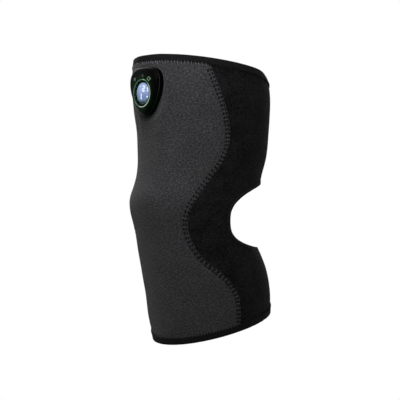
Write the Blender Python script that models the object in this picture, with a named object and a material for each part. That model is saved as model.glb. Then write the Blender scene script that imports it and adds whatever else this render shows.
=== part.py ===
# Heated knee massager: a padded wrap for the left knee with a controller on the front of the thigh.
# The origin is the middle of the knee, +Z runs up the leg and the front of the leg faces -Y.
# The wrap is open down the back, where its right wings lie over its left wings and close on hook tape.

import math

import bpy
import numpy as np
from mathutils import Matrix, Vector

# Units and clearances
MM = 0.001
GAP = 0.3 * MM
LAYER_GAP = 0.45 * MM
OVERRUN = 1.0 * MM
HOLE_OVERRUN = 0.3 * MM
NORMAL_STEP = 0.5 * MM

# The leg that the wrap fits, from the shin to the thigh
WRAP_HEIGHT = 320.0 * MM
KNEE_DEPTH = 135.4 * MM
TOP_RIM_HEIGHT = 155.0 * MM
TOP_RIM_FALL_SHARE = 0.18
BOTTOM_RIM_HEIGHT = -132.0 * MM
BOTTOM_RIM_FALL_SHARE = -0.28

# Each row: height as a share of the wrap, centre and half depth as shares of the knee's depth,
# and width as a share of the depth
LEG_SHARES = (
    (-0.4875, 0.151, 0.454, 0.98),
    (-0.3750, 0.126, 0.495, 0.98),
    (-0.2750, 0.106, 0.513, 0.98),
    (-0.2063, 0.070, 0.513, 0.98),
    (-0.1500, 0.030, 0.502, 0.98),
    (-0.0625, 0.004, 0.500, 0.98),
    (0.0313, 0.002, 0.500, 0.98),
    (0.1063, 0.019, 0.503, 1.00),
    (0.1813, 0.049, 0.517, 1.03),
    (0.2688, 0.056, 0.523, 1.07),
    (0.3500, 0.046, 0.535, 1.10),
    (0.4250, 0.038, 0.543, 1.10),
    (0.5563, 0.056, 0.527, 1.10),
)

# The kneecap's rise
KNEECAP_RISE = 10.2 * MM
KNEECAP_HEIGHT = 9.0 * MM
KNEECAP_UP = 20.0 * MM
KNEECAP_DOWN = 27.0 * MM
KNEECAP_TURN = math.radians(58.0)

# The seam between the grey front and the black sides: height as a share of the wrap, and angle
SEAM_SHARES = (-0.400, -0.335, -0.280, -0.225, -0.172, -0.118, -0.065, -0.012, 0.040, 0.094,
               0.148, 0.228, 0.306, 0.400, 0.464, 0.530)
SEAM_TURNS = (83.0, 83.0, 80.7, 72.3, 57.6, 48.5, 44.3, 45.9, 52.3, 60.8,
              69.3, 74.6, 72.0, 65.0, 58.6, 50.0)
SEAM_SPLIT = 0.3 * MM

# The half-moon opening behind the knee
NOTCH_TIP_TURN = math.radians(83.8)
NOTCH_TIP_HEIGHT = -12.0 * MM
NOTCH_BACK_HEIGHT = -5.0 * MM
NOTCH_HALF_HEIGHT = 36.0 * MM
NOTCH_POWER = 2.8

# The wings: the left ones lie inside, the right ones lap over them.
# Their columns are shares of the way from the opening's tip to the middle of the back
WING_SHARES = (0.0, 0.010, 0.045, 0.115, 0.225, 0.385, 0.563, 0.709, 0.855, 1.0)
LEFT_WING_END_SHARE = 1.145
RIGHT_WING_END_SHARE = 1.100
LIFT_START_SHARE = 0.563
LIFT_END_SHARE = 0.709

# Layers, counted inwards from the wrap's face
PANEL_WALL = 1.6 * MM
LINING_GAP = 0.75 * MM
FOAM_GAP = 1.1 * MM
FOAM_WALL = 3.6 * MM
WIRE_SPACE = 3.4 * MM
FILM_STAND_OFF = 0.8 * MM
LINING_WALL = 0.8 * MM
PAD_TURN_IN = math.radians(55.9)
PAD_TURN_OUT = math.radians(69.8)
PAD_RIM_IN = 24.0 * MM
PAD_RIM_OUT = 8.0 * MM

# Bindings
BINDING_WALL = 0.9 * MM
BINDING_GAP = 0.75 * MM
BINDING_HEIGHT = 7.4 * MM
NOTCH_BINDING_WALL = 0.6 * MM
NOTCH_BINDING_HEIGHT = 3.4 * MM

# Hook tape between the lapped wings
HOOK_TAPE_TURN_IN = math.radians(170.0)
HOOK_TAPE_TURN_OUT = math.radians(192.0)
HOOK_TAPE_WALL = 1.9 * MM
HOOK_TAPE_SPACE = 3.1 * MM
HOOK_TAPE_GAP = 0.5 * MM
HOOK_TAPE_MARGIN = 11.0 * MM

# Heating films, wires and temperature sensors at both sides of the kneecap
FILM_TURN_IN = math.radians(20.0)
FILM_TURN_OUT = math.radians(52.0)
FILM_LOW = -56.0 * MM
FILM_HIGH = 31.0 * MM
FILM_WALL = 0.35 * MM
HEATING_WIRE_WIDTH = 1.8 * MM
HEATING_WIRE_WALL = 0.4 * MM
HEATING_RUNS = 8
HEATING_MARGIN = 6.0 * MM
HEATING_TOP_MARGIN = 13.0 * MM
SENSOR_TURN = math.radians(36.0)
SENSOR_DROP = 6.5 * MM
SENSOR_WIDTH = 6.0 * MM
SENSOR_HEIGHT = 3.6 * MM
SENSOR_WALL = 0.6 * MM

# Leads
LEAD_DIAMETER = 1.1 * MM
LEAD_PITCH = 1.9 * MM
LEAD_BEND = 2.6 * MM
LEAD_CORNER_SHARE = 0.29
LEAD_STEP = 3.5 * MM
LEAD_COLUMN_SHARES = (0.5, 1.5)
LEAD_DEPTH_SHARE = 0.48

# The leads' ways down from the slot: shares of the turn and of the way down to their ends
MOTOR_ROUTE_SHARES = ((0.08, 0.30), (0.24, 0.55), (0.55, 0.82), (0.90, 1.0))
FILM_ROUTE_SHARES = ((0.04, 0.20), (0.06, 0.40), (0.18, 0.66), (0.52, 0.90), (1.0, 1.0))
FILM_LEAD_TURN = math.radians(29.0)

# Vibration motors
MOTOR_TURN = math.radians(42.0)
MOTOR_HEIGHT_SHARE = 0.41
POD_RADIUS = 8.5 * MM
POD_WALL = 0.8 * MM
POD_FLOOR = 0.6 * MM
POD_DEPTH = 4.5 * MM
POD_TOP_DROP = 2.45 * MM
CAN_RADIUS = 6.0 * MM
CAN_WALL = 0.4 * MM
CAN_DEPTH = 2.8 * MM
COVER_WALL = 0.4 * MM
SHAFT_RADIUS = 0.45 * MM
ROTOR_RADIUS = 4.9 * MM
ROTOR_HUB_RADIUS = 1.7 * MM
ROTOR_WALL = 1.7 * MM
ROTOR_CLEARANCE = 0.3 * MM
ROTOR_SWEEP = math.radians(84.0)

# The controller's place and case
SEAT_SINK = 4.0 * MM
SEAT_RIM_CLEARANCE = 5.95 * MM
SEAT_MARGIN = 12.0 * MM
SEAT_FADE = 15.0 * MM
SEAT_HOLD_WIDTH = 30.0 * MM
SEAT_SIDE_FADE = 12.0 * MM
CASE_WIDTH = 49.4 * MM
CASE_HEIGHT = 52.0 * MM
CASE_TAPER = 0.35
CASE_SHOULDER_POWER = 0.72
CASE_DEPTH = 11.2 * MM
CASE_WALL = 1.4 * MM
CASE_FLOOR = 1.2 * MM
TRAY_DEPTH = 5.0 * MM
GASKET_DEPTH = 0.5 * MM
GASKET_WIDTH = 1.0 * MM
FACE_ROUND_WIDTH = 5.6 * MM
FACE_ROUND_DEPTH = 4.6 * MM
CEILING_WALL = 1.4 * MM
CEILING_INSET = 3.7 * MM
CEILING_DROP = 0.7 * MM

# The display in its lit ring
RING_DROP = 2.0 * MM
RING_RADIUS_SHARE = 0.3077
RING_RADIUS = CASE_WIDTH * RING_RADIUS_SHARE
RING_WIDTH = 1.2 * MM
RING_FLANGE = 0.4 * MM
RING_FLANGE_DEPTH = 0.8 * MM
RING_LEDGE_WIDTH = 1.1 * MM
RING_LEDGE_DEPTH = 0.4 * MM
RING_PROUD = 0.15 * MM
LENS_SINK = 0.1 * MM
LENS_WALL = 1.6 * MM
MODULE_INSET = 2.9 * MM

# The three keys in an arc above the ring
KEY_NAMES = ("heat_key", "power_key", "massage_key")
KEY_RISE = 4.1 * MM
KEY_RADIUS = RING_RADIUS + KEY_RISE
KEY_HALF_THICKNESS = 2.6 * MM
KEY_HALF_TURN = math.radians(6.0)
KEY_SPACING = math.radians(40.0)
KEY_CLEARANCE = 0.3 * MM
KEY_PROUD = 0.15 * MM
KEY_EDGE = 0.3 * MM
KEY_FLANGE_TURN = math.radians(2.6)
KEY_FLANGE_DEPTH = 0.7 * MM
KEY_STEM_RADIUS = 1.4 * MM
KEY_TRAVEL = 0.5 * MM
KEY_REST_GAP = 0.15 * MM
SWITCH_SIZE = 4.2 * MM
SWITCH_DEPTH = 1.6 * MM

# Inside the case
BOARD_WALL = 0.8 * MM
BOARD_INSET = 1.9 * MM
BATTERY_WIDTH_SHARE = 0.533
BATTERY_HEIGHT_SHARE = 0.37
BATTERY_WIDTH = CASE_WIDTH * BATTERY_WIDTH_SHARE
BATTERY_HEIGHT = CASE_HEIGHT * BATTERY_HEIGHT_SHARE
BATTERY_LIFT = 0.5 * MM
BATTERY_DEPTH = 3.0 * MM
BATTERY_EDGE = 0.8 * MM
BOSS_RADIUS = 2.1 * MM
SOCKET_WIDTH = 7.6 * MM
SOCKET_DEPTH = 2.5 * MM
SOCKET_LENGTH = 5.6 * MM
SOCKET_WALL = 0.4 * MM
SOCKET_HEIGHT = 6.0 * MM
TONGUE_WALL = 0.5 * MM
TONGUE_SIDE = 0.9 * MM
TONGUE_SETBACK = 0.8 * MM

# The backing plate inside the wrap and the screws through it
PLATE_WALL = 1.6 * MM
PLATE_GAP = 0.8 * MM
PLATE_INSET = 4.6 * MM
SCREW_PLACE_SHARES = ((0.333, 0.241), (-0.333, 0.241), (0.178, -0.241), (-0.178, -0.241))
SCREW_PLACES = tuple((CASE_WIDTH * across, CASE_HEIGHT * up) for across, up in SCREW_PLACE_SHARES)
SCREW_RADIUS = 0.9 * MM
SCREW_HEAD_RADIUS = 2.0 * MM
SCREW_HEAD_DEPTH = 0.9 * MM
SCREW_REACH = 3.2 * MM
SCREW_CLEARANCE = 0.3 * MM
LEAD_SLOT_DROP_SHARE = 0.278
LEAD_SLOT_DROP = CASE_HEIGHT * LEAD_SLOT_DROP_SHARE
LEAD_SLOT_WIDTH = 8.2 * MM
LEAD_SLOT_HEIGHT = 2.2 * MM
GROMMET_WALL = 0.7 * MM

# Facets: the angles past which an edge stays sharp, and counts
CASE_SMOOTH = math.radians(35.0)
CLOTH_SMOOTH = math.radians(50.0)
ROUND_SIDES = 20
RING_SIDES = 32
SMALL_SIDES = 12
CASE_SIDES = 32
KEY_ARC_POINTS = 3
KEY_END_POINTS = 4
SETTLE_ROUNDS = 6

# Rows of the wrap's sheets, from the opening's edge down or up to the last but one rim row
LOWER_ROW_SHARES = (0.0, 0.13, 0.27, 0.42, 0.58, 0.77)
UPPER_ROW_SHARES = (0.0, 0.07, 0.135, 0.205, 0.30, 0.50, 0.82)
RIM_ROWS = (0.0, 8.0 * MM, 24.0 * MM)
PANEL_COLUMNS = 16
BESIDE_COLUMNS = 4
PAD_COLUMNS = 8
BINDING_COLUMNS = 24
TAPE_ROWS = 5
FILM_ROWS = 9
FILM_COLUMNS = 5


# Scene and materials

def clear_scene():
    for old in list(bpy.data.objects):
        bpy.data.objects.remove(old, do_unlink=True)


def make_material(name, color, roughness, metallic=0.0):
    material = bpy.data.materials.new(name)
    material.use_nodes = True
    shader = material.node_tree.nodes["Principled BSDF"]
    shader.inputs["Base Color"].default_value = (*color, 1.0)
    shader.inputs["Roughness"].default_value = roughness
    shader.inputs["Metallic"].default_value = metallic
    return material


FINISHES = {
    "grey_jersey": ((0.075, 0.076, 0.080), 0.9),
    "black_loop": ((0.010, 0.010, 0.011), 0.95),
    "binding": ((0.014, 0.014, 0.015), 0.85),
    "lining": ((0.030, 0.030, 0.032), 0.95),
    "foam": ((0.10, 0.10, 0.11), 0.95),
    "hook_tape": ((0.012, 0.012, 0.013), 0.8),
    "film": ((0.55, 0.33, 0.08), 0.4),
    "heating_wire": ((0.03, 0.03, 0.03), 0.6),
    "lead": ((0.45, 0.05, 0.04), 0.5),
    "sensor": ((0.05, 0.05, 0.06), 0.5),
    "steel": ((0.62, 0.62, 0.64), 0.3, 1.0),
    "weight": ((0.38, 0.36, 0.33), 0.4, 1.0),
    "pod_plastic": ((0.10, 0.10, 0.11), 0.6),
    "gloss_black": ((0.008, 0.008, 0.009), 0.08),
    "lens": ((0.02, 0.022, 0.03), 0.05),
    "ring_light": ((0.25, 0.95, 0.55), 0.3),
    "module": ((0.70, 0.78, 0.95), 0.4),
    "board": ((0.02, 0.14, 0.06), 0.5),
    "battery": ((0.55, 0.56, 0.58), 0.35, 0.6),
    "switch": ((0.03, 0.03, 0.03), 0.5),
    "rubber": ((0.02, 0.02, 0.02), 0.8),
}


# Mesh helpers

def add_object(name, verts, faces, finish, smooth=CASE_SMOOTH):
    mesh = bpy.data.meshes.new(name)
    mesh.from_pydata([tuple(v) for v in np.asarray(verts, dtype=float)], [], [tuple(f) for f in faces])
    mesh.validate()
    mesh.shade_smooth()
    mesh.set_sharp_from_angle(angle=smooth)
    item = bpy.data.objects.new(name, mesh)
    bpy.context.scene.collection.objects.link(item)
    if finish:
        if finish not in bpy.data.materials:
            make_material(finish, *FINISHES[finish])
        mesh.materials.append(bpy.data.materials[finish])
    return item


def loft(name, rings, finish, closed=False):
    # Rings of equal point counts joined by bands; an open loft has a cap at each end
    count = len(rings[0])
    verts = np.concatenate(rings)
    bands = len(rings) if closed else len(rings) - 1
    faces = []
    for band in range(bands):
        low = band * count
        high = (band + 1) % len(rings) * count
        for i in range(count):
            j = (i + 1) % count
            faces.append((low + i, low + j, high + j, high + i))
    if not closed:
        faces.append(tuple(range(count))[::-1])
        faces.append(tuple(range(len(verts) - count, len(verts))))
    return add_object(name, verts, faces, finish)


def level(outline, height):
    # A flat outline lifted to a height along the local outward axis
    return np.column_stack([outline, np.full(len(outline), height)])


def circle(radius, sides, centre=(0, 0)):
    turn = np.linspace(0, math.tau, sides, endpoint=False)
    return np.column_stack([centre[0] + radius * np.cos(turn), centre[1] + radius * np.sin(turn)])


def rectangle(width, height, centre=(0, 0)):
    half = np.array([[-1, -1], [1, -1], [1, 1], [-1, 1]]) * 0.5
    return half * (width, height) + centre


def shield_width(turn):
    power = np.where(np.sin(turn) > 0, CASE_SHOULDER_POWER, 1)
    return np.sign(np.cos(turn)) * np.abs(np.cos(turn)) ** power * (1 + CASE_TAPER * np.sin(turn))


def shield(inset):
    # A shield: widest above its middle, with square shoulders and a narrow round foot
    turn = np.linspace(0, math.tau, CASE_SIDES, endpoint=False)
    width = shield_width(turn)
    return np.column_stack([
        (CASE_WIDTH / 2 - inset) * width / np.abs(width).max(),
        (CASE_HEIGHT / 2 - inset) * np.sin(turn),
    ])


def bean(half_thickness, half_turn, centre_turn):
    # A key's outline: a short arc about the ring's centre, with round ends
    out = np.linspace(-half_turn, half_turn, KEY_ARC_POINTS)
    cap = np.linspace(0, math.pi, KEY_END_POINTS + 2)[1:-1]
    points = []
    far = KEY_RADIUS + half_thickness
    near = KEY_RADIUS - half_thickness
    for a in out:
        points.append((far * math.sin(a), far * math.cos(a)))
    for a in cap:
        radial = half_thickness * math.cos(a)
        along = half_thickness * math.sin(a)
        points.append(((KEY_RADIUS + radial) * math.sin(half_turn) + along * math.cos(half_turn),
                       (KEY_RADIUS + radial) * math.cos(half_turn) - along * math.sin(half_turn)))
    for a in out[::-1]:
        points.append((near * math.sin(a), near * math.cos(a)))
    for a in cap[::-1]:
        radial = half_thickness * math.cos(a)
        along = half_thickness * math.sin(a)
        points.append((-(KEY_RADIUS + radial) * math.sin(half_turn) - along * math.cos(half_turn),
                       (KEY_RADIUS + radial) * math.cos(half_turn) - along * math.sin(half_turn)))
    flat = np.array(points)[::-1]
    cos, sin = math.cos(centre_turn), math.sin(centre_turn)
    turned = flat @ np.array([[cos, -sin], [sin, cos]])
    return turned - (0, RING_DROP)


def box(name, width, height, low, high, centre, finish):
    outline = rectangle(width, height, centre)
    return loft(name, [level(outline, low), level(outline, high)], finish)


def cut(target, cutters, operation="DIFFERENCE"):
    for cutter in cutters:
        cutter.hide_render = True
        cutter.display_type = "WIRE"
        cutter.hide_set(True)
        step = target.modifiers.new(cutter.name, "BOOLEAN")
        step.operation = operation
        step.object = cutter
        step.solver = "EXACT"


def place(item, parent):
    item.parent = parent
    return item


def make_empty(name, matrix):
    empty = bpy.data.objects.new(name, None)
    bpy.context.scene.collection.objects.link(empty)
    empty.matrix_world = matrix
    return empty


# The leg's surface

def blend_table(at, places, values):
    # Cubic curve through a table, with slopes from the neighbouring points
    places = np.asarray(places, dtype=float)
    values = np.asarray(values, dtype=float)
    slopes = np.gradient(values, places)
    i = np.clip(np.searchsorted(places, at) - 1, 0, len(places) - 2)
    step = places[i + 1] - places[i]
    t = np.clip((at - places[i]) / step, 0, 1)
    return ((2 * t ** 3 - 3 * t ** 2 + 1) * values[i] + (t ** 3 - 2 * t ** 2 + t) * step * slopes[i]
            + (3 * t ** 2 - 2 * t ** 3) * values[i + 1] + (t ** 3 - t ** 2) * step * slopes[i + 1])


def fade(value, start, end):
    # Rises smoothly from 0 at start to 1 at end
    t = np.clip((value - start) / (end - start), 0, 1)
    return t * t * (3 - 2 * t)


def leg_section(height):
    shares = np.array(LEG_SHARES)
    at = height / WRAP_HEIGHT
    centre = blend_table(at, shares[:, 0], shares[:, 1]) * KNEE_DEPTH
    depth = blend_table(at, shares[:, 0], shares[:, 2]) * KNEE_DEPTH
    width = depth * blend_table(at, shares[:, 0], shares[:, 3])
    return centre, depth, width


def seat_height():
    # The case's middle: its top stands just under the top binding
    return float(top_rim(np.array(0.0))) - BINDING_HEIGHT - SEAT_RIM_CLEARANCE - CASE_HEIGHT / 2


def seat_plane():
    centre, depth, width = leg_section(np.array(seat_height()))
    return float(centre - depth + SEAT_SINK)


def slot_height():
    return seat_height() - LEAD_SLOT_DROP


def motor_height():
    # Between the films' tops and the leads' slot
    return FILM_HIGH + (slot_height() - FILM_HIGH) * MOTOR_HEIGHT_SHARE


def face_point(turn, height):
    # The wrap's outer face: an oval tube with the kneecap's rise and a flat seat for the controller
    turn, height = np.broadcast_arrays(np.asarray(turn, dtype=float), np.asarray(height, dtype=float))
    centre, depth, width = leg_section(height)
    near = (turn + math.pi) % math.tau - math.pi
    reach = np.where(height > KNEECAP_HEIGHT, KNEECAP_UP, KNEECAP_DOWN)
    rise = KNEECAP_RISE * np.exp(-((height - KNEECAP_HEIGHT) / reach) ** 2 - (near / KNEECAP_TURN) ** 2)
    x = (width + rise) * np.sin(turn)
    y = centre - (depth + rise) * np.cos(turn)
    off = np.abs(height - seat_height()) - CASE_HEIGHT / 2 - SEAT_MARGIN
    held = (1 - fade(off, 0, SEAT_FADE)) * (np.cos(turn) > 0)
    middle = 1 - fade(np.abs(x) - SEAT_HOLD_WIDTH / 2, 0, SEAT_SIDE_FADE)
    y = y + held * (seat_plane() - y) * np.where(y < seat_plane(), 1, middle)
    return np.stack([x, y, height], axis=-1)


def face_normal(turn, height):
    small_turn = math.radians(0.5)
    small_rise = NORMAL_STEP
    along = face_point(turn + small_turn, height) - face_point(turn - small_turn, height)
    up = face_point(turn, height + small_rise) - face_point(turn, height - small_rise)
    normal = np.cross(along, up)
    return normal / np.linalg.norm(normal, axis=-1, keepdims=True)


def layer(turn, height, depth):
    # A point at a depth under the wrap's face
    return face_point(turn, height) - face_normal(turn, height) * np.asarray(depth)[..., None]


def rim_height(turn, middle, fall):
    centre, depth, width = leg_section(np.array(middle))
    return middle - fall * (centre - depth * np.cos(turn))


def top_rim(turn):
    return rim_height(turn, TOP_RIM_HEIGHT, TOP_RIM_FALL_SHARE)


def bottom_rim(turn):
    return rim_height(turn, BOTTOM_RIM_HEIGHT, BOTTOM_RIM_FALL_SHARE)


def notch_edge(turn, side):
    # The opening's upper (side 1) or lower (side -1) edge; both meet at its tip
    share = np.clip(np.abs(math.pi - np.abs(turn)) / (math.pi - NOTCH_TIP_TURN), 0, 1)
    middle = NOTCH_BACK_HEIGHT + (NOTCH_TIP_HEIGHT - NOTCH_BACK_HEIGHT) * share ** 2
    return middle + side * NOTCH_HALF_HEIGHT * (1 - share ** NOTCH_POWER) ** (1 / NOTCH_POWER)


def seam_turn(height):
    return np.radians(blend_table(height / WRAP_HEIGHT, SEAM_SHARES, SEAM_TURNS))


def pad_share(turn, height):
    # How much of the padding stands between the panel and the lining: none at the rims and in the wings
    around = 1 - fade(np.abs(turn), PAD_TURN_IN, PAD_TURN_OUT)
    rim = np.minimum(top_rim(turn) - height, height - bottom_rim(turn))
    return around * fade(rim, PAD_RIM_OUT, PAD_RIM_IN)


def pad_depth(turn, height):
    full = FOAM_GAP - LINING_GAP + FOAM_WALL + WIRE_SPACE
    return PANEL_WALL + LINING_GAP + full * pad_share(turn, height)


def wing_lift(turn):
    # The right wings stand off by the left wings' thickness and the tape's
    full = edge_stack() + HOOK_TAPE_SPACE
    return full * fade(-turn, share_turn(LIFT_START_SHARE), share_turn(LIFT_END_SHARE))


# Sheets of the wrap

def share_turn(share):
    return NOTCH_TIP_TURN + (math.pi - NOTCH_TIP_TURN) * share


def wing_columns(end_share):
    # Angles from the opening's tip to the wing's end, close together at the tip
    return share_turn(np.array(WING_SHARES + (end_share,)))


def row_heights(turn, side, with_rims=True):
    # Heights of the rows of one half of the wrap, from its lower end up: side -1 is the lower half
    rim = bottom_rim(turn) if side < 0 else top_rim(turn)
    middle = notch_edge(turn, side)
    near = rim - side * RIM_ROWS[-1]
    shares = LOWER_ROW_SHARES if side < 0 else UPPER_ROW_SHARES
    rows = [middle + (near - middle) * share for share in shares]
    rows += [rim - side * off for off in (RIM_ROWS[::-1] if with_rims else RIM_ROWS[-1:])]
    return np.stack(rows if side > 0 else rows[::-1], axis=-1)


def make_sheet(name, turns, joined, outer, inner, finish, settle=None, with_rims=True):
    # A sheet over columns of angles, split at the opening where a column isn't joined
    base = np.asarray(turns, dtype=float)[:, None]
    angles = []
    heights = []
    grids = []
    for side in (-1, 1):
        height = row_heights(base[:, 0], side, with_rims)
        turn = base + 0 * height
        columns = np.arange(turn.shape[1])
        for _ in range(SETTLE_ROUNDS):
            if settle is not None:
                turn = settle(base, height)
            height = row_heights(turn, side, with_rims)[:, columns, columns]
        grids.append(np.arange(turn.size).reshape(turn.shape) + sum(len(a) for a in angles))
        angles.append(turn.reshape(-1))
        heights.append(height.reshape(-1))
    lower, upper = grids
    upper[joined, 0] = lower[joined, -1]
    return close_sheet(name, np.concatenate(angles), np.concatenate(heights), outer, inner,
                       grid_quads(lower) + grid_quads(upper), finish)


def grid_quads(grid):
    corners = (grid[:-1, :-1], grid[1:, :-1], grid[1:, 1:], grid[:-1, 1:])
    return list(zip(*(corner.ravel() for corner in corners)))


def make_patch(name, turns, lows, highs, rows, outer, inner, finish):
    # A plain rectangular sheet between two heights
    share_up = np.linspace(0, 1, rows + 1)[None, :]
    turn = np.asarray(turns, dtype=float)[:, None] + 0 * share_up
    height = np.asarray(lows)[:, None] + (np.asarray(highs) - np.asarray(lows))[:, None] * share_up
    grid = np.arange(turn.size).reshape(turn.shape)
    return close_sheet(name, turn.reshape(-1), height.reshape(-1), outer, inner, grid_quads(grid), finish)


def close_sheet(name, turn, height, outer, inner, quads, finish):
    # Both faces of a sheet, and a wall round its border
    used = np.unique(np.array(quads))
    order = {old: new for new, old in enumerate(used)}
    turn = turn[used]
    height = height[used]
    count = len(used)
    front = layer(turn, height, outer(turn, height))
    back = layer(turn, height, inner(turn, height))
    faces = [tuple(order[i] for i in quad) for quad in quads]
    edges = {(face[i], face[(i + 1) % 4]) for face in faces for i in range(4)}
    walls = [(b, a, a + count, b + count) for a, b in edges if (b, a) not in edges]
    backs = [tuple(i + count for i in face[::-1]) for face in faces]
    faces += backs + sorted(walls)
    return add_object(name, np.concatenate([front, back]), faces, finish, CLOTH_SMOOTH)


def constant(value):
    return lambda turn, height: np.full(np.shape(turn), value)


def front_panel():
    spread = np.linspace(-1, 1, PANEL_COLUMNS + 1)

    def settle(base, height):
        return base * (seam_turn(height) - SEAM_SPLIT / KNEE_DEPTH)

    return make_sheet("front_panel", spread, np.full(len(spread), True), constant(0.0), constant(PANEL_WALL),
                      "grey_jersey", settle=settle)


def panel_outer(turn, height):
    return -wing_lift(turn)


def panel_inner(turn, height):
    return PANEL_WALL - wing_lift(turn)


def lining_outer(turn, height):
    return pad_depth(turn, height) - wing_lift(turn)


def lining_inner(turn, height):
    return pad_depth(turn, height) + LINING_WALL - wing_lift(turn)


def side_panel(name, hand, end_share):
    # From the seam to the opening's tip in even steps, and on along the wings
    beside = np.linspace(0, 1, BESIDE_COLUMNS + 1)
    columns = np.concatenate([beside[:-1], 1 + wing_columns(end_share) - NOTCH_TIP_TURN])
    joined = columns <= 1
    if hand < 0:
        columns = columns[::-1]
        joined = joined[::-1]

    def settle(base, height):
        start = seam_turn(height) + SEAM_SPLIT / KNEE_DEPTH
        inside = start + (NOTCH_TIP_TURN - start) * np.minimum(base, 1)
        return hand * (inside + np.maximum(base - 1, 0))

    return make_sheet(name, columns, joined, panel_outer, panel_inner, "black_loop", settle=settle)


def pad_turns():
    return np.linspace(-PAD_TURN_IN, PAD_TURN_IN, PAD_COLUMNS + 1)


def inner_lining():
    columns = np.concatenate([-wing_columns(RIGHT_WING_END_SHARE)[::-1], [-PAD_TURN_OUT], pad_turns(),
                              [PAD_TURN_OUT], wing_columns(LEFT_WING_END_SHARE)])
    joined = np.abs(columns) < share_turn(WING_SHARES[1]) - math.radians(0.1)
    return make_sheet("inner_lining", columns, joined, lining_outer, lining_inner, "lining")


def foam_core():
    def inner(turn, height):
        return pad_depth(turn, height) - WIRE_SPACE

    columns = pad_turns()
    joined = np.full(len(columns), True)
    return make_sheet("foam_core", columns, joined, constant(PANEL_WALL + FOAM_GAP), inner, "foam",
                      with_rims=False)


# Bindings

def binding(name, turn, height, lift, legs, wall, reach, side, finish):
    # A folded strip over an edge: its two legs hold the edge and its web closes them.
    # Side is the way off the fabric: 1 where the fabric ends upwards along the path's left
    face = face_point(turn, height)
    normal = face_normal(turn, height)
    along = np.gradient(face, axis=0)
    along = along / np.linalg.norm(along, axis=1, keepdims=True)
    off = np.cross(normal, along) * side
    out = np.asarray(lift)[:, None]
    outside = out + LAYER_GAP
    inside = out - legs - BINDING_GAP
    corners = ((outside, -reach), (outside + wall, -reach), (outside + wall, LAYER_GAP + wall),
               (inside - wall, LAYER_GAP + wall), (inside - wall, -reach), (inside, -reach),
               (inside, LAYER_GAP), (outside, LAYER_GAP))
    strip = np.stack([face + normal * rise + off * reach_off for rise, reach_off in corners], axis=1)
    rings = list(strip if side < 0 else strip[:, ::-1])
    return loft(name, rings, finish)


def edge_stack():
    return PANEL_WALL + LINING_GAP + LINING_WALL


def rim_binding(name, rim, side):
    front = np.linspace(-NOTCH_TIP_TURN, NOTCH_TIP_TURN, BINDING_COLUMNS + 1)
    wing = np.array(WING_SHARES[3:])
    right = share_turn(np.append(wing, RIGHT_WING_END_SHARE))
    left = share_turn(np.append(wing, LEFT_WING_END_SHARE))
    turn = np.concatenate([-right[::-1], front, left])
    return binding(name, turn, rim(turn), wing_lift(turn), edge_stack(), BINDING_WALL, BINDING_HEIGHT, side,
                   "binding")


def notch_binding(name, hand, end_share):
    out = wing_columns(end_share)
    turn = np.concatenate([out[::-1], out[1:]])
    height = np.concatenate([notch_edge(out, 1)[::-1], notch_edge(out, -1)[1:]])
    turn = turn * hand
    return binding(name, turn, height, wing_lift(turn), edge_stack(), NOTCH_BINDING_WALL,
                   NOTCH_BINDING_HEIGHT, hand, "binding")


def hook_tape(name, upper):
    turn = np.array([HOOK_TAPE_TURN_IN, math.pi, HOOK_TAPE_TURN_OUT])
    lows = notch_edge(turn, 1) if upper else bottom_rim(turn)
    highs = top_rim(turn) if upper else notch_edge(turn, -1)
    return make_patch(name, turn, lows + HOOK_TAPE_MARGIN, highs - HOOK_TAPE_MARGIN, TAPE_ROWS,
                      constant(-HOOK_TAPE_GAP - HOOK_TAPE_WALL), constant(-HOOK_TAPE_GAP), "hook_tape")


# Heating films

def film_face(turn, height):
    # Depth of the film's outer face, in the space between the foam and the lining
    return pad_depth(turn, height) - FILM_STAND_OFF - FILM_WALL


def heating_film(name, hand):
    turn = np.sort(hand * np.linspace(FILM_TURN_IN, FILM_TURN_OUT, FILM_COLUMNS + 1))
    lows = np.full(len(turn), FILM_LOW)
    highs = np.full(len(turn), FILM_HIGH)

    def inner(turns, heights):
        return pad_depth(turns, heights) - FILM_STAND_OFF

    return make_patch(name, turn, lows, highs, FILM_ROWS, film_face, inner, "film")


def heating_wire(name, hand):
    # A flat wire that runs to and fro over the film
    low = FILM_LOW + HEATING_MARGIN
    high = FILM_HIGH - HEATING_TOP_MARGIN
    side = HEATING_MARGIN / KNEE_DEPTH
    levels = np.linspace(low, high, HEATING_RUNS)
    turns = []
    heights = []
    for run, height in enumerate(levels):
        across = np.linspace(FILM_TURN_IN + side, FILM_TURN_OUT - side, 5)
        turns += list(across if run % 2 == 0 else across[::-1])
        heights += [height] * len(across)
    return flat_wire(name, hand * np.array(turns), np.array(heights))


def flat_wire(name, turn, height):
    depth = film_face(turn, height) - LAYER_GAP
    middle = layer(turn, height, depth)
    normal = face_normal(turn, height)
    along = np.gradient(middle, axis=0)
    along = along / np.linalg.norm(along, axis=1, keepdims=True)
    side = np.cross(normal, along)
    side = side / np.linalg.norm(side, axis=1, keepdims=True) * HEATING_WIRE_WIDTH / 2
    high = normal * HEATING_WIRE_WALL
    strip = np.stack([middle - side, middle + side, middle + side + high, middle - side + high], axis=1)
    return loft(name, list(strip), "heating_wire")


def sensor(name, hand):
    turn = hand * SENSOR_TURN
    height = FILM_HIGH - SENSOR_DROP
    frame = surface_frame(name + "_frame", turn, height)
    depth = float(film_face(np.array(turn), np.array(height))) - LAYER_GAP
    item = loft(name, [level(rectangle(SENSOR_WIDTH, SENSOR_HEIGHT), -depth),
                       level(rectangle(SENSOR_WIDTH, SENSOR_HEIGHT), SENSOR_WALL - depth)], "sensor")
    return place(item, frame)


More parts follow.
